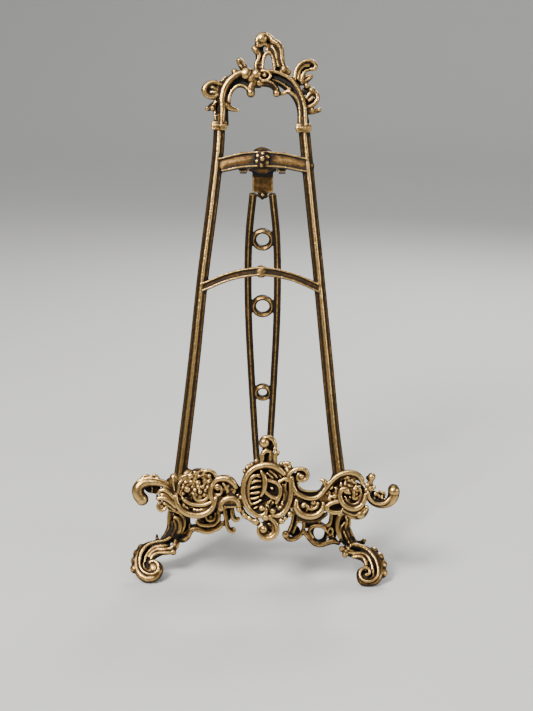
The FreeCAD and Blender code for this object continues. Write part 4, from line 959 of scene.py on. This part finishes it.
def hinge_ears(wax):
    for side in (-1, 1):
        inner = CENTRE + side * EAR_INNER
        outer = CENTRE + side * (EAR_INNER + EAR_THICK)
        tube(wax, inner, outer, HINGE_UP, -HINGE_BEHIND, EAR_RADIUS, PIN_HOLE)
        for up in (-1, 1):
            brick(wax, (inner + outer) / 2, HINGE_UP + up * 2.9, -6.2, EAR_THICK, 2.6, 5.0)
        brick(wax, (inner + outer) / 2, HINGE_UP, -6, EAR_THICK, 5.0, 3.4)


frame_wax.slope = on_frame
drawn(frame_wax, hinge_ears)

# %% [markdown]
# The strut is a third casting: two bars that close towards a scroll foot, tied by three rings,
# with a flower below the hinge. It leans back on a slope of its own, from the pin to the place
# on the table where the CAD strut stands.
# %% Bars, rings and foot of the strut
STRUT_HALF = 2.0
STRUT_SOLE_BACK = 2.029

sole_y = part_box("rear_strut")[1].y / MM - STRUT_SOLE_BACK
strut_length = math.hypot(sole_y - hinge_mm[1], hinge_mm[2])
strut_lean = -math.atan2(sole_y - hinge_mm[1], hinge_mm[2])
on_strut = Slope(middle_x, sole_y, 0, strut_lean)


def strut_side(wax, side):
    """One bar with its rib, and the scroll of the foot that it ends in."""
    route = ((-4.2, -13), (-6.2, -34), (-6.6, -66), (-5.2, -104), (-3.6, -136), (-2.2, -158))
    places = [(CENTRE - side * u, strut_length + w) for u, w in route]
    wax.sweep(smooth([(u, w, 1.7) for u, w in places], 1.0), STRUT_HALF - 0.5, 0.5 - STRUT_HALF, boxy=3)
    wax.sweep(smooth([(u, w, 0.7) for u, w in places], 1.0), STRUT_HALF, -STRUT_HALF)
    curl = ((1.4, 12, 1.3), (3.6, 9.6, 1.5), (6.4, 6.4, 1.6), (6.4, 3.2, 1.6), (4.2, 1.9, 1.5),
            (2.6, 3.8, 1.1))
    roll(wax, *[(CENTRE + side * u, w, half) for u, w, half in curl])
    wax.ball(CENTRE + side * 4.4, 3.6, 2.6, 0, 1.6)


def strut_bars(wax):
    for side in (-1, 1):
        strut_side(wax, side)
    wax.ball(CENTRE, 8, 3.6, 0, 1.9)
    for drop, radius in ((34, 4.0), (66, 4.2), (110, 3.2)):
        up = strut_length - drop
        wax.sweep(smooth(circle(CENTRE, up, radius, 1.2)), STRUT_HALF - 0.3, 0.3 - STRUT_HALF, boxy=2.6)
        wax.sweep(smooth(circle(CENTRE, up, radius, 0.5)), STRUT_HALF + 0.1, -STRUT_HALF - 0.1)
    brick(wax, CENTRE, strut_length - 7.5, 0, 9, 9.5, 2 * STRUT_HALF - 0.4)
    flower(wax, CENTRE, strut_length - 13, 2.6, 6, n=STRUT_HALF - 0.9)


strut_wax = Wax(on_strut)
drawn(strut_wax, strut_bars)

# %% [markdown]
# The knuckle is the barrel that turns on the pin, between the ears. A heel above it meets the
# back of the frame when the strut is open, which stops the strut from sliding out further.
# %% Knuckle and heel
KNUCKLE_RADIUS = 3.2
KNUCKLE_HALF = 6.0
HEEL_GAP = 0.15
HEEL_BACK = 8.0


def knuckle(wax):
    tube(wax, CENTRE - KNUCKLE_HALF, CENTRE + KNUCKLE_HALF, HINGE_UP, -HINGE_BEHIND, KNUCKLE_RADIUS, PIN_HOLE)
    front = -FRAME_THICK - HEEL_GAP
    brick(wax, CENTRE, HINGE_UP + 3.4, (front - HEEL_BACK) / 2, 8, 3.2, front + HEEL_BACK)


strut_wax.slope = on_frame
drawn(strut_wax, knuckle)

# %% [markdown]
# ## From wax to casting
# The wax shapes overlap, and a casting is one skin. Boolean unions of a few hundred curved
# shapes are slow and fail where surfaces touch. A voxel remesh fills every shape and wraps the
# result in one closed surface, with the soft inner corners that poured metal has. Three gentle
# smoothing steps take off the voxels' steps, and a decimation keeps the mesh in bounds.
# %% Melting the wax together
MOST_TRIANGLES = 190000
EASING_STEPS = 3


def evaluated_mesh(piece):
    """A new mesh with the piece's modifiers applied, and its number of triangles."""
    mesh = bpy.data.meshes.new_from_object(piece.evaluated_get(bpy.context.evaluated_depsgraph_get()))
    return mesh, sum(len(face.vertices) - 2 for face in mesh.polygons)


def cast(wax, name, voxel):
    """One closed mesh from all of a casting's wax, in metres."""
    mesh = bpy.data.meshes.new(name + ".wax")
    mesh.from_pydata(np.vstack(wax.verts).tolist(), [], wax.faces)
    mesh.validate()
    piece = bpy.data.objects.new(name, mesh)
    bpy.context.scene.collection.objects.link(piece)
    melt = piece.modifiers.new("melt", "REMESH")
    melt.mode = "VOXEL"
    melt.voxel_size = voxel
    melt.adaptivity = 0.0
    ease = piece.modifiers.new("ease", "SMOOTH")
    ease.factor = 0.5
    ease.iterations = EASING_STEPS
    skin, triangles = evaluated_mesh(piece)
    if triangles > MOST_TRIANGLES:
        thin = piece.modifiers.new("thin", "DECIMATE")
        thin.ratio = MOST_TRIANGLES / triangles
        skin, triangles = evaluated_mesh(piece)
    piece.modifiers.clear()
    skin.transform(Matrix.Scale(MM, 4))
    skin.name = name
    piece.data = skin
    skin.polygons.foreach_set("use_smooth", [True] * len(skin.polygons))
    bpy.data.meshes.remove(mesh)
    print(name, "has", triangles, "triangles")
    return piece


print("a casting has at most", MOST_TRIANGLES, "triangles")

# %% [markdown]
# ## Where the patina gathers
# Dark patina stays in the hollows, and the high places are rubbed bright. An ambient occlusion
# node could find the hollows, but it is slow and noisy. Here they are measured on the mesh. The
# first measure is the recess: how deep a vertex lies under the highest metal near it, seen
# square to its slope. A cloth pressed on the relief bridges the hollows in the same way. The
# highest places are kept in a grid of small cells, and each spreads downhill to its neighbours.
# %% Recess
CELL = 0.3
REACH = 8
FALL = 0.4


def recess_below(points, slope):
    """How far each point lies under the highest surface near it, seen square to its slope."""
    local = points - slope.start
    across = ((local[:, 0] - local[:, 0].min()) / CELL).astype(int) + REACH
    up = local @ slope.up
    up = ((up - up.min()) / CELL).astype(int) + REACH
    height = local @ slope.out
    grid = np.full((across.max() + REACH + 1, up.max() + REACH + 1), -90.0)
    np.maximum.at(grid, (across, up), height)
    best = grid.copy()
    for a in range(-REACH, REACH + 1):
        for b in range(-REACH, REACH + 1):
            far = math.hypot(a, b)
            if far <= REACH:
                best = np.maximum(best, np.roll(grid, (a, b), axis=(0, 1)) - FALL * far * CELL)
    return best[across, up] - height


print("a hollow is looked for within", CELL * REACH, "mm")

# %% [markdown]
# The second measure is the fine relief: each vertex is compared with a smoothed copy of the
# surface. It lies over the copy on a thin ridge and under it in a groove.
# %% Fine relief
SMOOTHING_ROUNDS = 8
RELIEF_UNIT = 0.12


def smoothed(points, edges):
    """The points after a few rounds in which each moves towards the mean of its neighbours."""
    count = len(points)
    ends = np.concatenate([edges[:, 0], edges[:, 1]])
    others = np.concatenate([edges[:, 1], edges[:, 0]])
    degree = np.maximum(np.bincount(ends, minlength=count), 1)
    for _ in range(SMOOTHING_ROUNDS):
        mean = np.empty_like(points)
        for axis in range(3):
            mean[:, axis] = np.bincount(ends, weights=points[others, axis], minlength=count) / degree
        points = points * 0.4 + mean * 0.6
    return points


def fine_relief(points, normals, edges):
    return ((points - smoothed(points, edges)) * normals).sum(axis=1) / RELIEF_UNIT


print("one unit of fine relief is", RELIEF_UNIT, "mm")

# %% [markdown]
# The third measure is how squarely the surface faces the front. A polishing cloth rubs the front and misses
# the sides, but this measure also paints light: crests that face the front are made brighter as a painted
# highlight, and the sides of rolls darker as painted shade. The plain backs of the castings have no relief,
# so they get an even recess and a weaker polish. The feet lean more than the rest of the frame, so everything
# below their top is measured on their own slope.
# %% Measures kept as attributes
FOOT_TOP = 15.0
BACK_FACING = -0.3
BACK_RECESS = 0.5
BACK_RUBBING = 0.8
LEAST_FACING = 0.15
LOWEST, HIGHEST = -2, 4


def rows_of(collection, label, width, kind=float):
    """A mesh collection's values as an array with width columns."""
    values = np.empty(len(collection) * width, dtype=kind)
    collection.foreach_get(label, values)
    return values.reshape(-1, width)


def measure_relief(piece, slopes):
    mesh = piece.data
    points = rows_of(mesh.vertices, "co", 3) / MM
    normals = rows_of(mesh.vertices, "normal", 3)
    edges = rows_of(mesh.edges, "vertices", 2, np.int64)
    facing = normals @ slopes[0].out
    recess = recess_below(points, slopes[0])
    if len(slopes) > 1:
        on_lower = points[:, 2] < FOOT_TOP
        recess[on_lower] = recess_below(points, slopes[1])[on_lower]
        facing[on_lower] = (normals @ slopes[1].out)[on_lower]
    is_back = facing < BACK_FACING
    recess = np.where(is_back, BACK_RECESS, recess)
    # Front-facing places count as rubbed: this is partly wear and partly a painted highlight on the crests,
    # with painted shade left on the sides.
    facing = np.where(is_back, -BACK_RUBBING * facing, np.maximum(facing, LEAST_FACING))
    values = {"front_facing": facing, "recess": recess, "fine_relief": fine_relief(points, normals, edges)}
    for label, value in values.items():
        layer = mesh.attributes.new(label, "FLOAT", "POINT")
        layer.data.foreach_set("value", np.clip(value, LOWEST, HIGHEST).astype(np.float32))
    print(piece.name, "was measured on", len(points), "vertices")


# %% [markdown]
# ## Making the castings
# Each casting takes the place of its CAD plate and rides on the same body. Its soles are
# pressed flat on the table first.
# %% Three castings
def place_casting(wax, name, node, body, voxel, slopes):
    piece = cast(wax, name, voxel)
    for vertex in piece.data.vertices:
        vertex.co.z = max(vertex.co.z, 0)
    measure_relief(piece, slopes)
    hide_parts(node)
    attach(piece, body)
    return piece


rail = place_casting(rail_wax, "front_rail_casting", "front_rail", "stand", 0.27, [on_rail])
back = place_casting(frame_wax, "back_frame_casting", "back_frame", "stand", 0.31,
                     [on_frame, on_foot])
prop = place_casting(strut_wax, "rear_strut_casting", "rear_strut", "strut", 0.3, [on_frame])
print("castings:", rail.name, back.name, prop.name)

# %% [markdown]
# ## Antique brass
# The finish is bronze-black patina over brass, rubbed back on the high places. Painting it by
# hand would take hours for each casting. Here it is worked out from the three measures, by node
# groups that all castings share. Two helpers open a group and add up what it weighs.
# %% Groups and sums
def new_group(name, inputs, outputs):
    """A node group, its input node and its output node."""
    group = bpy.data.node_groups.new(name, "ShaderNodeTree")
    for label, kind, value in inputs:
        socket = group.interface.new_socket(label, in_out="INPUT", socket_type=kind)
        socket.default_value = value
    for label, kind in outputs:
        group.interface.new_socket(label, in_out="OUTPUT", socket_type=kind)
    return group, group.nodes.new("NodeGroupInput"), group.nodes.new("NodeGroupOutput")


def sum_of(group, *terms):
    """Adds sockets, each times its own factor."""
    total = None
    for socket, factor in terms:
        part = group.nodes.new("ShaderNodeMath")
        part.operation = "MULTIPLY_ADD"
        group.links.new(socket, part.inputs[0])
        part.inputs[1].default_value = factor
        part.inputs[2].default_value = 0
        if total is not None:
            group.links.new(total, part.inputs[2])
        total = part.outputs[0]
    return total


print("helpers ready, node groups so far:", len(bpy.data.node_groups))

# %% [markdown]
# Three more helpers give the values that are weighed: noise, a measure kept on the mesh, and a
# value spread over a new range.
# %% Noise, ranges and measures
def noise_at(group, scale, detail=4.0):
    """Noise that stays with the object as it moves."""
    place = group.nodes.new("ShaderNodeTexCoord")
    grain = group.nodes.new("ShaderNodeTexNoise")
    grain.inputs["Scale"].default_value = scale
    grain.inputs["Detail"].default_value = detail
    grain.inputs["Roughness"].default_value = 0.6
    group.links.new(place.outputs["Object"], grain.inputs["Vector"])
    return grain.outputs["Fac"]


def spread(group, value, low, high, to_low=0.0, to_high=1.0):
    """Maps value from low..high to to_low..to_high, smoothly and clamped."""
    node = group.nodes.new("ShaderNodeMapRange")
    node.interpolation_type = "SMOOTHSTEP"
    group.links.new(value, node.inputs["Value"])
    for label, number in (("From Min", low), ("From Max", high), ("To Min", to_low), ("To Max", to_high)):
        node.inputs[label].default_value = number
    return node.outputs["Result"]


def attribute(group, name):
    """A value that was measured on the mesh."""
    node = group.nodes.new("ShaderNodeAttribute")
    node.attribute_name = name
    return node.outputs["Fac"]


print("values kept on the rail:", [layer.name for layer in rail.data.attributes][-3:])

# %% [markdown]
# One mask, of wear and painted light, drives the colour, the shine and the metal all at once, so it is a
# group of its own. High and sharp places are worn. Front-facing places are made brighter, partly as wear and
# partly as a painted highlight, which leaves painted shade on the sides. Two sizes of noise are added, so
# that the rubbed edge is uneven, and the casting's offset input shifts a whole casting, which the frame and
# the strut use as painted shade.
# %% Wear and painted light
wear_light_group, entry, leave = new_group("wear_and_painted_light", [("Shade Offset", "NodeSocketFloat", 0.0)],
                                     [("Wear and Light", "NodeSocketFloat")])
height = spread(wear_light_group, attribute(wear_light_group, "recess"), -0.2, 2.0, 0.55, 0.0)
# front_facing adds a painted highlight to crests that face the front, and painted shade to the sides of
# rolls, on top of the wear.
raw = sum_of(wear_light_group, (height, 1.0), (attribute(wear_light_group, "fine_relief"), 0.36),
             (attribute(wear_light_group, "front_facing"), 0.52), (noise_at(wear_light_group, 700), 0.5),
             (noise_at(wear_light_group, 130), 0.3), (entry.outputs["Shade Offset"], 1.0))
wear_light_group.links.new(spread(wear_light_group, raw, 0.62, 1.86), leave.inputs["Wear and Light"])
print(wear_light_group.name, "has", len(wear_light_group.nodes), "nodes")

# %% [markdown]
# The second group turns the mask of wear and painted light into colour, roughness and metal. Thick patina is
# nearly black and dull, thin patina is brown, and the last stretch of the mask mixes in the colour of bare
# metal. On front-facing crests this is partly a painted highlight, and on the sides of rolls the dark end is
# partly painted shade.
# %% Patina colour
patina_inputs = [("Wear and Light", "NodeSocketFloat", 0.5), ("Gold", "NodeSocketColor", (0.68, 0.45, 0.19, 1))]
patina_outputs = [("Color", "NodeSocketColor"), ("Roughness", "NodeSocketFloat"),
                  ("Metallic", "NodeSocketFloat")]
patina_group, entry, leave = new_group("patina_colour", patina_inputs, patina_outputs)
ramp = patina_group.nodes.new("ShaderNodeValToRGB")
stops = ((0.0, (0.004, 0.003, 0.002, 1)), (0.80, (0.36, 0.215, 0.082, 1)),
         (0.30, (0.022, 0.012, 0.005, 1)), (0.58, (0.15, 0.082, 0.028, 1)))
for element, (position, colour) in zip(ramp.color_ramp.elements, stops[:2]):
    element.position = position
    element.color = colour
for position, colour in stops[2:]:
    ramp.color_ramp.elements.new(position).color = colour
patina_group.links.new(entry.outputs["Wear and Light"], ramp.inputs["Fac"])
gild = patina_group.nodes.new("ShaderNodeMix")
gild.data_type = "RGBA"
patina_group.links.new(spread(patina_group, entry.outputs["Wear and Light"], 0.6, 1.0), gild.inputs["Factor"])
patina_group.links.new(ramp.outputs["Color"], gild.inputs["A"])
patina_group.links.new(entry.outputs["Gold"], gild.inputs["B"])
patina_group.links.new(gild.outputs["Result"], leave.inputs["Color"])
for label, bounds in (("Roughness", (0.1, 0.95, 0.6, 0.27)), ("Metallic", (0.05, 0.5, 0.5, 1.0))):
    patina_group.links.new(spread(patina_group, entry.outputs["Wear and Light"], *bounds), leave.inputs[label])
print(patina_group.name, "has", len(ramp.color_ramp.elements), "colour stops")

# %% [markdown]
# The third group is the fine pitted skin that a casting gets from its mould. It is too fine for
# geometry, so it is a height for a bump.
# %% Cast skin
skin_group, entry, leave = new_group("cast_skin", [], [("Height", "NodeSocketFloat")])
pits = sum_of(skin_group, (noise_at(skin_group, 1400, 3), 0.35), (noise_at(skin_group, 420, 4), 0.65))
skin_group.links.new(pits, leave.inputs["Height"])
print("node groups:", [group.name for group in bpy.data.node_groups])

# %% [markdown]
# The castings differ in a shade offset and in the tint of the bare metal. The front rail gets no offset, so
# it is the brightest. The frame and the strut stand behind it and under the dish, so they get painted shade:
# a negative offset, which keeps more dark patina on them, and a darker tint.
# %% Brass of the castings
def new_material(name):
    made = bpy.data.materials.new(name)
    made.use_nodes = True
    return made, made.node_tree, made.node_tree.nodes["Principled BSDF"]


def group_node(tree, group):
    node = tree.nodes.new("ShaderNodeGroup")
    node.node_tree = group
    return node


def bump_on(tree, height, strength, distance):
    """Bends the shader's normal by a height."""
    bump = tree.nodes.new("ShaderNodeBump")
    bump.inputs["Strength"].default_value = strength
    bump.inputs["Distance"].default_value = distance
    tree.links.new(height, bump.inputs["Height"])
    tree.links.new(bump.outputs["Normal"], tree.nodes["Principled BSDF"].inputs["Normal"])


def antique(name, shade_offset, gold):
    """Patinated brass from the shared groups, with its own painted shade offset and tint."""
    made, tree, shader = new_material(name)
    wear_light = group_node(tree, wear_light_group)
    wear_light.inputs["Shade Offset"].default_value = shade_offset
    patina = group_node(tree, patina_group)
    patina.inputs["Gold"].default_value = gold
    tree.links.new(wear_light.outputs["Wear and Light"], patina.inputs["Wear and Light"])
    for label, socket in (("Color", "Base Color"), ("Roughness", "Roughness"), ("Metallic", "Metallic")):
        tree.links.new(patina.outputs[label], shader.inputs[socket])
    bump_on(tree, group_node(tree, skin_group).outputs["Height"], 0.8, 0.00028)
    return made


rail.data.materials.append(antique("rubbed_rail_brass", 0.0, (0.66, 0.43, 0.155, 1)))
# The frame and the strut get a negative offset and a darker tint as painted shade, because they stand behind
# the rail and under the dish.
back.data.materials.append(antique("frame_brass", -0.14, (0.58, 0.37, 0.13, 1)))
prop.data.materials.append(antique("strut_brass", -0.16, (0.56, 0.36, 0.13, 1)))
print("brasses:", [piece.data.materials[0].name for piece in (rail, back, prop)])

# %% [markdown]
# The small fittings are filed brass and oiled steel. Filing leaves fine marks in one direction,
# so a noise is stretched along that axis and drives both the roughness and a faint bump. A
# second noise lays darker stains.
# %% Filed metals
def filed(name, colour, dark, roughness, streak):
    """Filed and oiled metal with streaks along one axis and darker stains."""
    made, tree, shader = new_material(name)
    place = tree.nodes.new("ShaderNodeTexCoord")
    stretch = tree.nodes.new("ShaderNodeMapping")
    stretch.inputs["Scale"].default_value = streak
    tree.links.new(place.outputs["Object"], stretch.inputs["Vector"])
    marks = tree.nodes.new("ShaderNodeTexNoise")
    marks.inputs["Scale"].default_value = 900
    marks.inputs["Detail"].default_value = 3
    tree.links.new(stretch.outputs["Vector"], marks.inputs["Vector"])
    stains = noise_at(tree, 260)
    mix = tree.nodes.new("ShaderNodeMix")
    mix.data_type = "RGBA"
    mix.inputs["A"].default_value = dark
    mix.inputs["B"].default_value = colour
    tree.links.new(spread(tree, stains, 0.36, 0.62), mix.inputs["Factor"])
    tree.links.new(mix.outputs["Result"], shader.inputs["Base Color"])
    gloss = spread(tree, marks.outputs["Fac"], 0.3, 0.7, roughness - 0.08, roughness + 0.12)
    tree.links.new(gloss, shader.inputs["Roughness"])
    shader.inputs["Metallic"].default_value = 1.0
    bump_on(tree, marks.outputs["Fac"], 0.35, 0.00006)
    return made


arm_brass = filed("filed_arm_brass", (0.50, 0.34, 0.15, 1), (0.12, 0.075, 0.03, 1), 0.42, (1, 0.08, 1))
rivet_brass = filed("rivet_brass", (0.60, 0.42, 0.20, 1), (0.16, 0.10, 0.04, 1), 0.38, (1, 1, 1))
pin_brass = filed("pin_brass", (0.58, 0.42, 0.20, 1), (0.14, 0.09, 0.04, 1), 0.36, (0.1, 1, 1))
oiled_steel = filed("oiled_steel", (0.34, 0.33, 0.32, 1), (0.09, 0.085, 0.08, 1), 0.40, (1, 1, 1))
print("filed metals:", [made.name for made in (arm_brass, rivet_brass, pin_brass, oiled_steel)])

# %% [markdown]
# The fittings' CAD shapes are right as they are, so they stay. A bevel modifier breaks their
# sharp edges, as a file would, and the larger arms get the wider bevel.
# %% Fittings
ARM_EDGE = 0.00022
SMALL_EDGE = 0.00012

fittings = {
    "ledge_arm_left": (arm_brass, ARM_EDGE),
    "ledge_arm_right": (arm_brass, ARM_EDGE),
    "rail_rivets": (rivet_brass, SMALL_EDGE),
    "hinge_pin": (pin_brass, SMALL_EDGE),
    "hinge_washers": (pin_brass, SMALL_EDGE),
    "arm_screws": (oiled_steel, SMALL_EDGE),
    "arm_washers": (oiled_steel, SMALL_EDGE),
}
for node, (finish, width) in fittings.items():
    part = frame["nodes"][node]
    for slot in part.material_slots:
        slot.material = finish
    if not part.material_slots:
        part.data.materials.append(finish)
    edge = part.modifiers.new("broken_edges", "BEVEL")
    edge.width = width
    edge.segments = 3
    edge.limit_method = "ANGLE"
    edge.angle_limit = math.radians(40)
print("fittings finished:", sorted(fittings))

# %% [markdown]
# ## Floor
# The stand is shown on a pale floor. Polished metal mirrors its surroundings, and a plain plane
# would show a hard horizon in it and behind it. So the floor bends up into a wall all round, as
# a paper cove does in a studio. Its outline is turned round the stand, like a bowl on a lathe.
# %% Pale round cove
FLAT_REACH = 2.2
COVE_BEND = 2.4
COVE_TOP = 4.5
COVE_SIDES = 96
BEND_STEPS = 16
UNDER_FEET = 0.0001


def link_new(name, data):
    """An object for the data, linked to the scene."""
    made = bpy.data.objects.new(name, data)
    bpy.context.scene.collection.objects.link(made)
    return made


profile = [(0.0, 0.0), (0.6, 0.0), (FLAT_REACH, 0.0)]
for step in range(1, BEND_STEPS + 1):
    bend = math.radians(90 * step / BEND_STEPS)
    profile.append((FLAT_REACH + COVE_BEND * math.sin(bend), COVE_BEND * (1 - math.cos(bend))))
profile.append((FLAT_REACH + COVE_BEND, COVE_TOP))
turns = [2 * math.pi * k / COVE_SIDES for k in range(COVE_SIDES)]
cove_points = [(reach * math.cos(turn), reach * math.sin(turn), rise - UNDER_FEET)
               for reach, rise in profile for turn in turns]
cove_faces = []
for ring in range(len(profile) - 1):
    for k in range(COVE_SIDES):
        after = (k + 1) % COVE_SIDES
        low = ring * COVE_SIDES
        high = low + COVE_SIDES
        cove_faces.append((low + k, high + k, high + after, low + after))
cove_mesh = bpy.data.meshes.new("floor")
cove_mesh.from_pydata(cove_points, [], cove_faces)
cove_mesh.validate()
for face in cove_mesh.polygons:
    face.use_smooth = True
link_new("floor", cove_mesh)
paper, paper_tree, paper_shader = new_material("pale_floor")
paper_shader.inputs["Base Color"].default_value = (0.56, 0.56, 0.545, 1)
paper_shader.inputs["Roughness"].default_value = 0.8
cove_mesh.materials.append(paper)
print("floor faces:", len(cove_mesh.polygons), "with", len(paper_tree.nodes), "shader nodes")

# %% [markdown]
# ## Light
# Soft daylight comes from high up, a main lamp from the upper left, a weak one from the right
# and one from behind. The room around is dim: under an even bright sky the brass would mirror
# white everywhere and look like pale paint.
# %% Room, lamps and daylight
world = bpy.data.worlds.new("room")
bpy.context.scene.world = world
world.use_nodes = True
world.node_tree.nodes["Background"].inputs["Color"].default_value = (0.80, 0.80, 0.79, 1)
world.node_tree.nodes["Background"].inputs["Strength"].default_value = 0.2


def hang(name, kind, power, direction):
    """A light of the given kind and power that shines along direction."""
    data = bpy.data.lights.new(name, kind)
    data.energy = power
    lit = link_new(name, data)
    lit.rotation_euler = Vector(direction).to_track_quat("-Z", "Y").to_euler()
    return lit


def lamp(name, place, aim, size, power, colour=(1, 1, 1)):
    """A square lamp at a place, turned to where it aims."""
    lit = hang(name, "AREA", power, Vector(aim) - Vector(place))
    lit.location = place
    lit.data.size = size
    lit.data.color = colour


lamp("key_light", (-0.42, -0.62, 0.8), (0, 0, 0.08), 0.3, 17, (1, 0.98, 0.95))
lamp("fill_light", (0.75, -0.5, 0.45), (0, 0, 0.08), 0.22, 2.5)
lamp("rim_light", (0.25, 0.6, 0.6), (0, 0, 0.1), 0.3, 5)
hang("soft_daylight", "SUN", 1.5, (0.3, 0.35, -0.9)).data.angle = math.radians(60)
print("lights:", [light.name for light in bpy.data.lights])

# %% [markdown]
# ## Camera
# The camera stands in front of the stand, a little above it, and looks slightly down. A turn
# towards a direction leaves the camera level, so its small roll is added after it.
# %% Camera
AZIMUTH = math.radians(1.0)
PITCH = math.radians(15)
ROLL = math.radians(0.3)

camera_data = bpy.data.cameras.new("camera")
camera_data.lens = 54.08
camera_data.sensor_width = 36
camera_data.clip_start = 0.01
camera = link_new("camera", camera_data)
camera.location = (0.00879, -0.44513, 0.2065)
direction = Vector((-math.sin(AZIMUTH) * math.cos(PITCH), math.cos(AZIMUTH) * math.cos(PITCH),
                    -math.sin(PITCH)))
turned = direction.to_track_quat("-Z", "Y").to_matrix().to_4x4()
camera.matrix_world = Matrix.Translation(camera.location) @ turned @ Matrix.Rotation(ROLL, 4, "Z")
bpy.context.scene.camera = camera
print("camera at", camera.location[:])
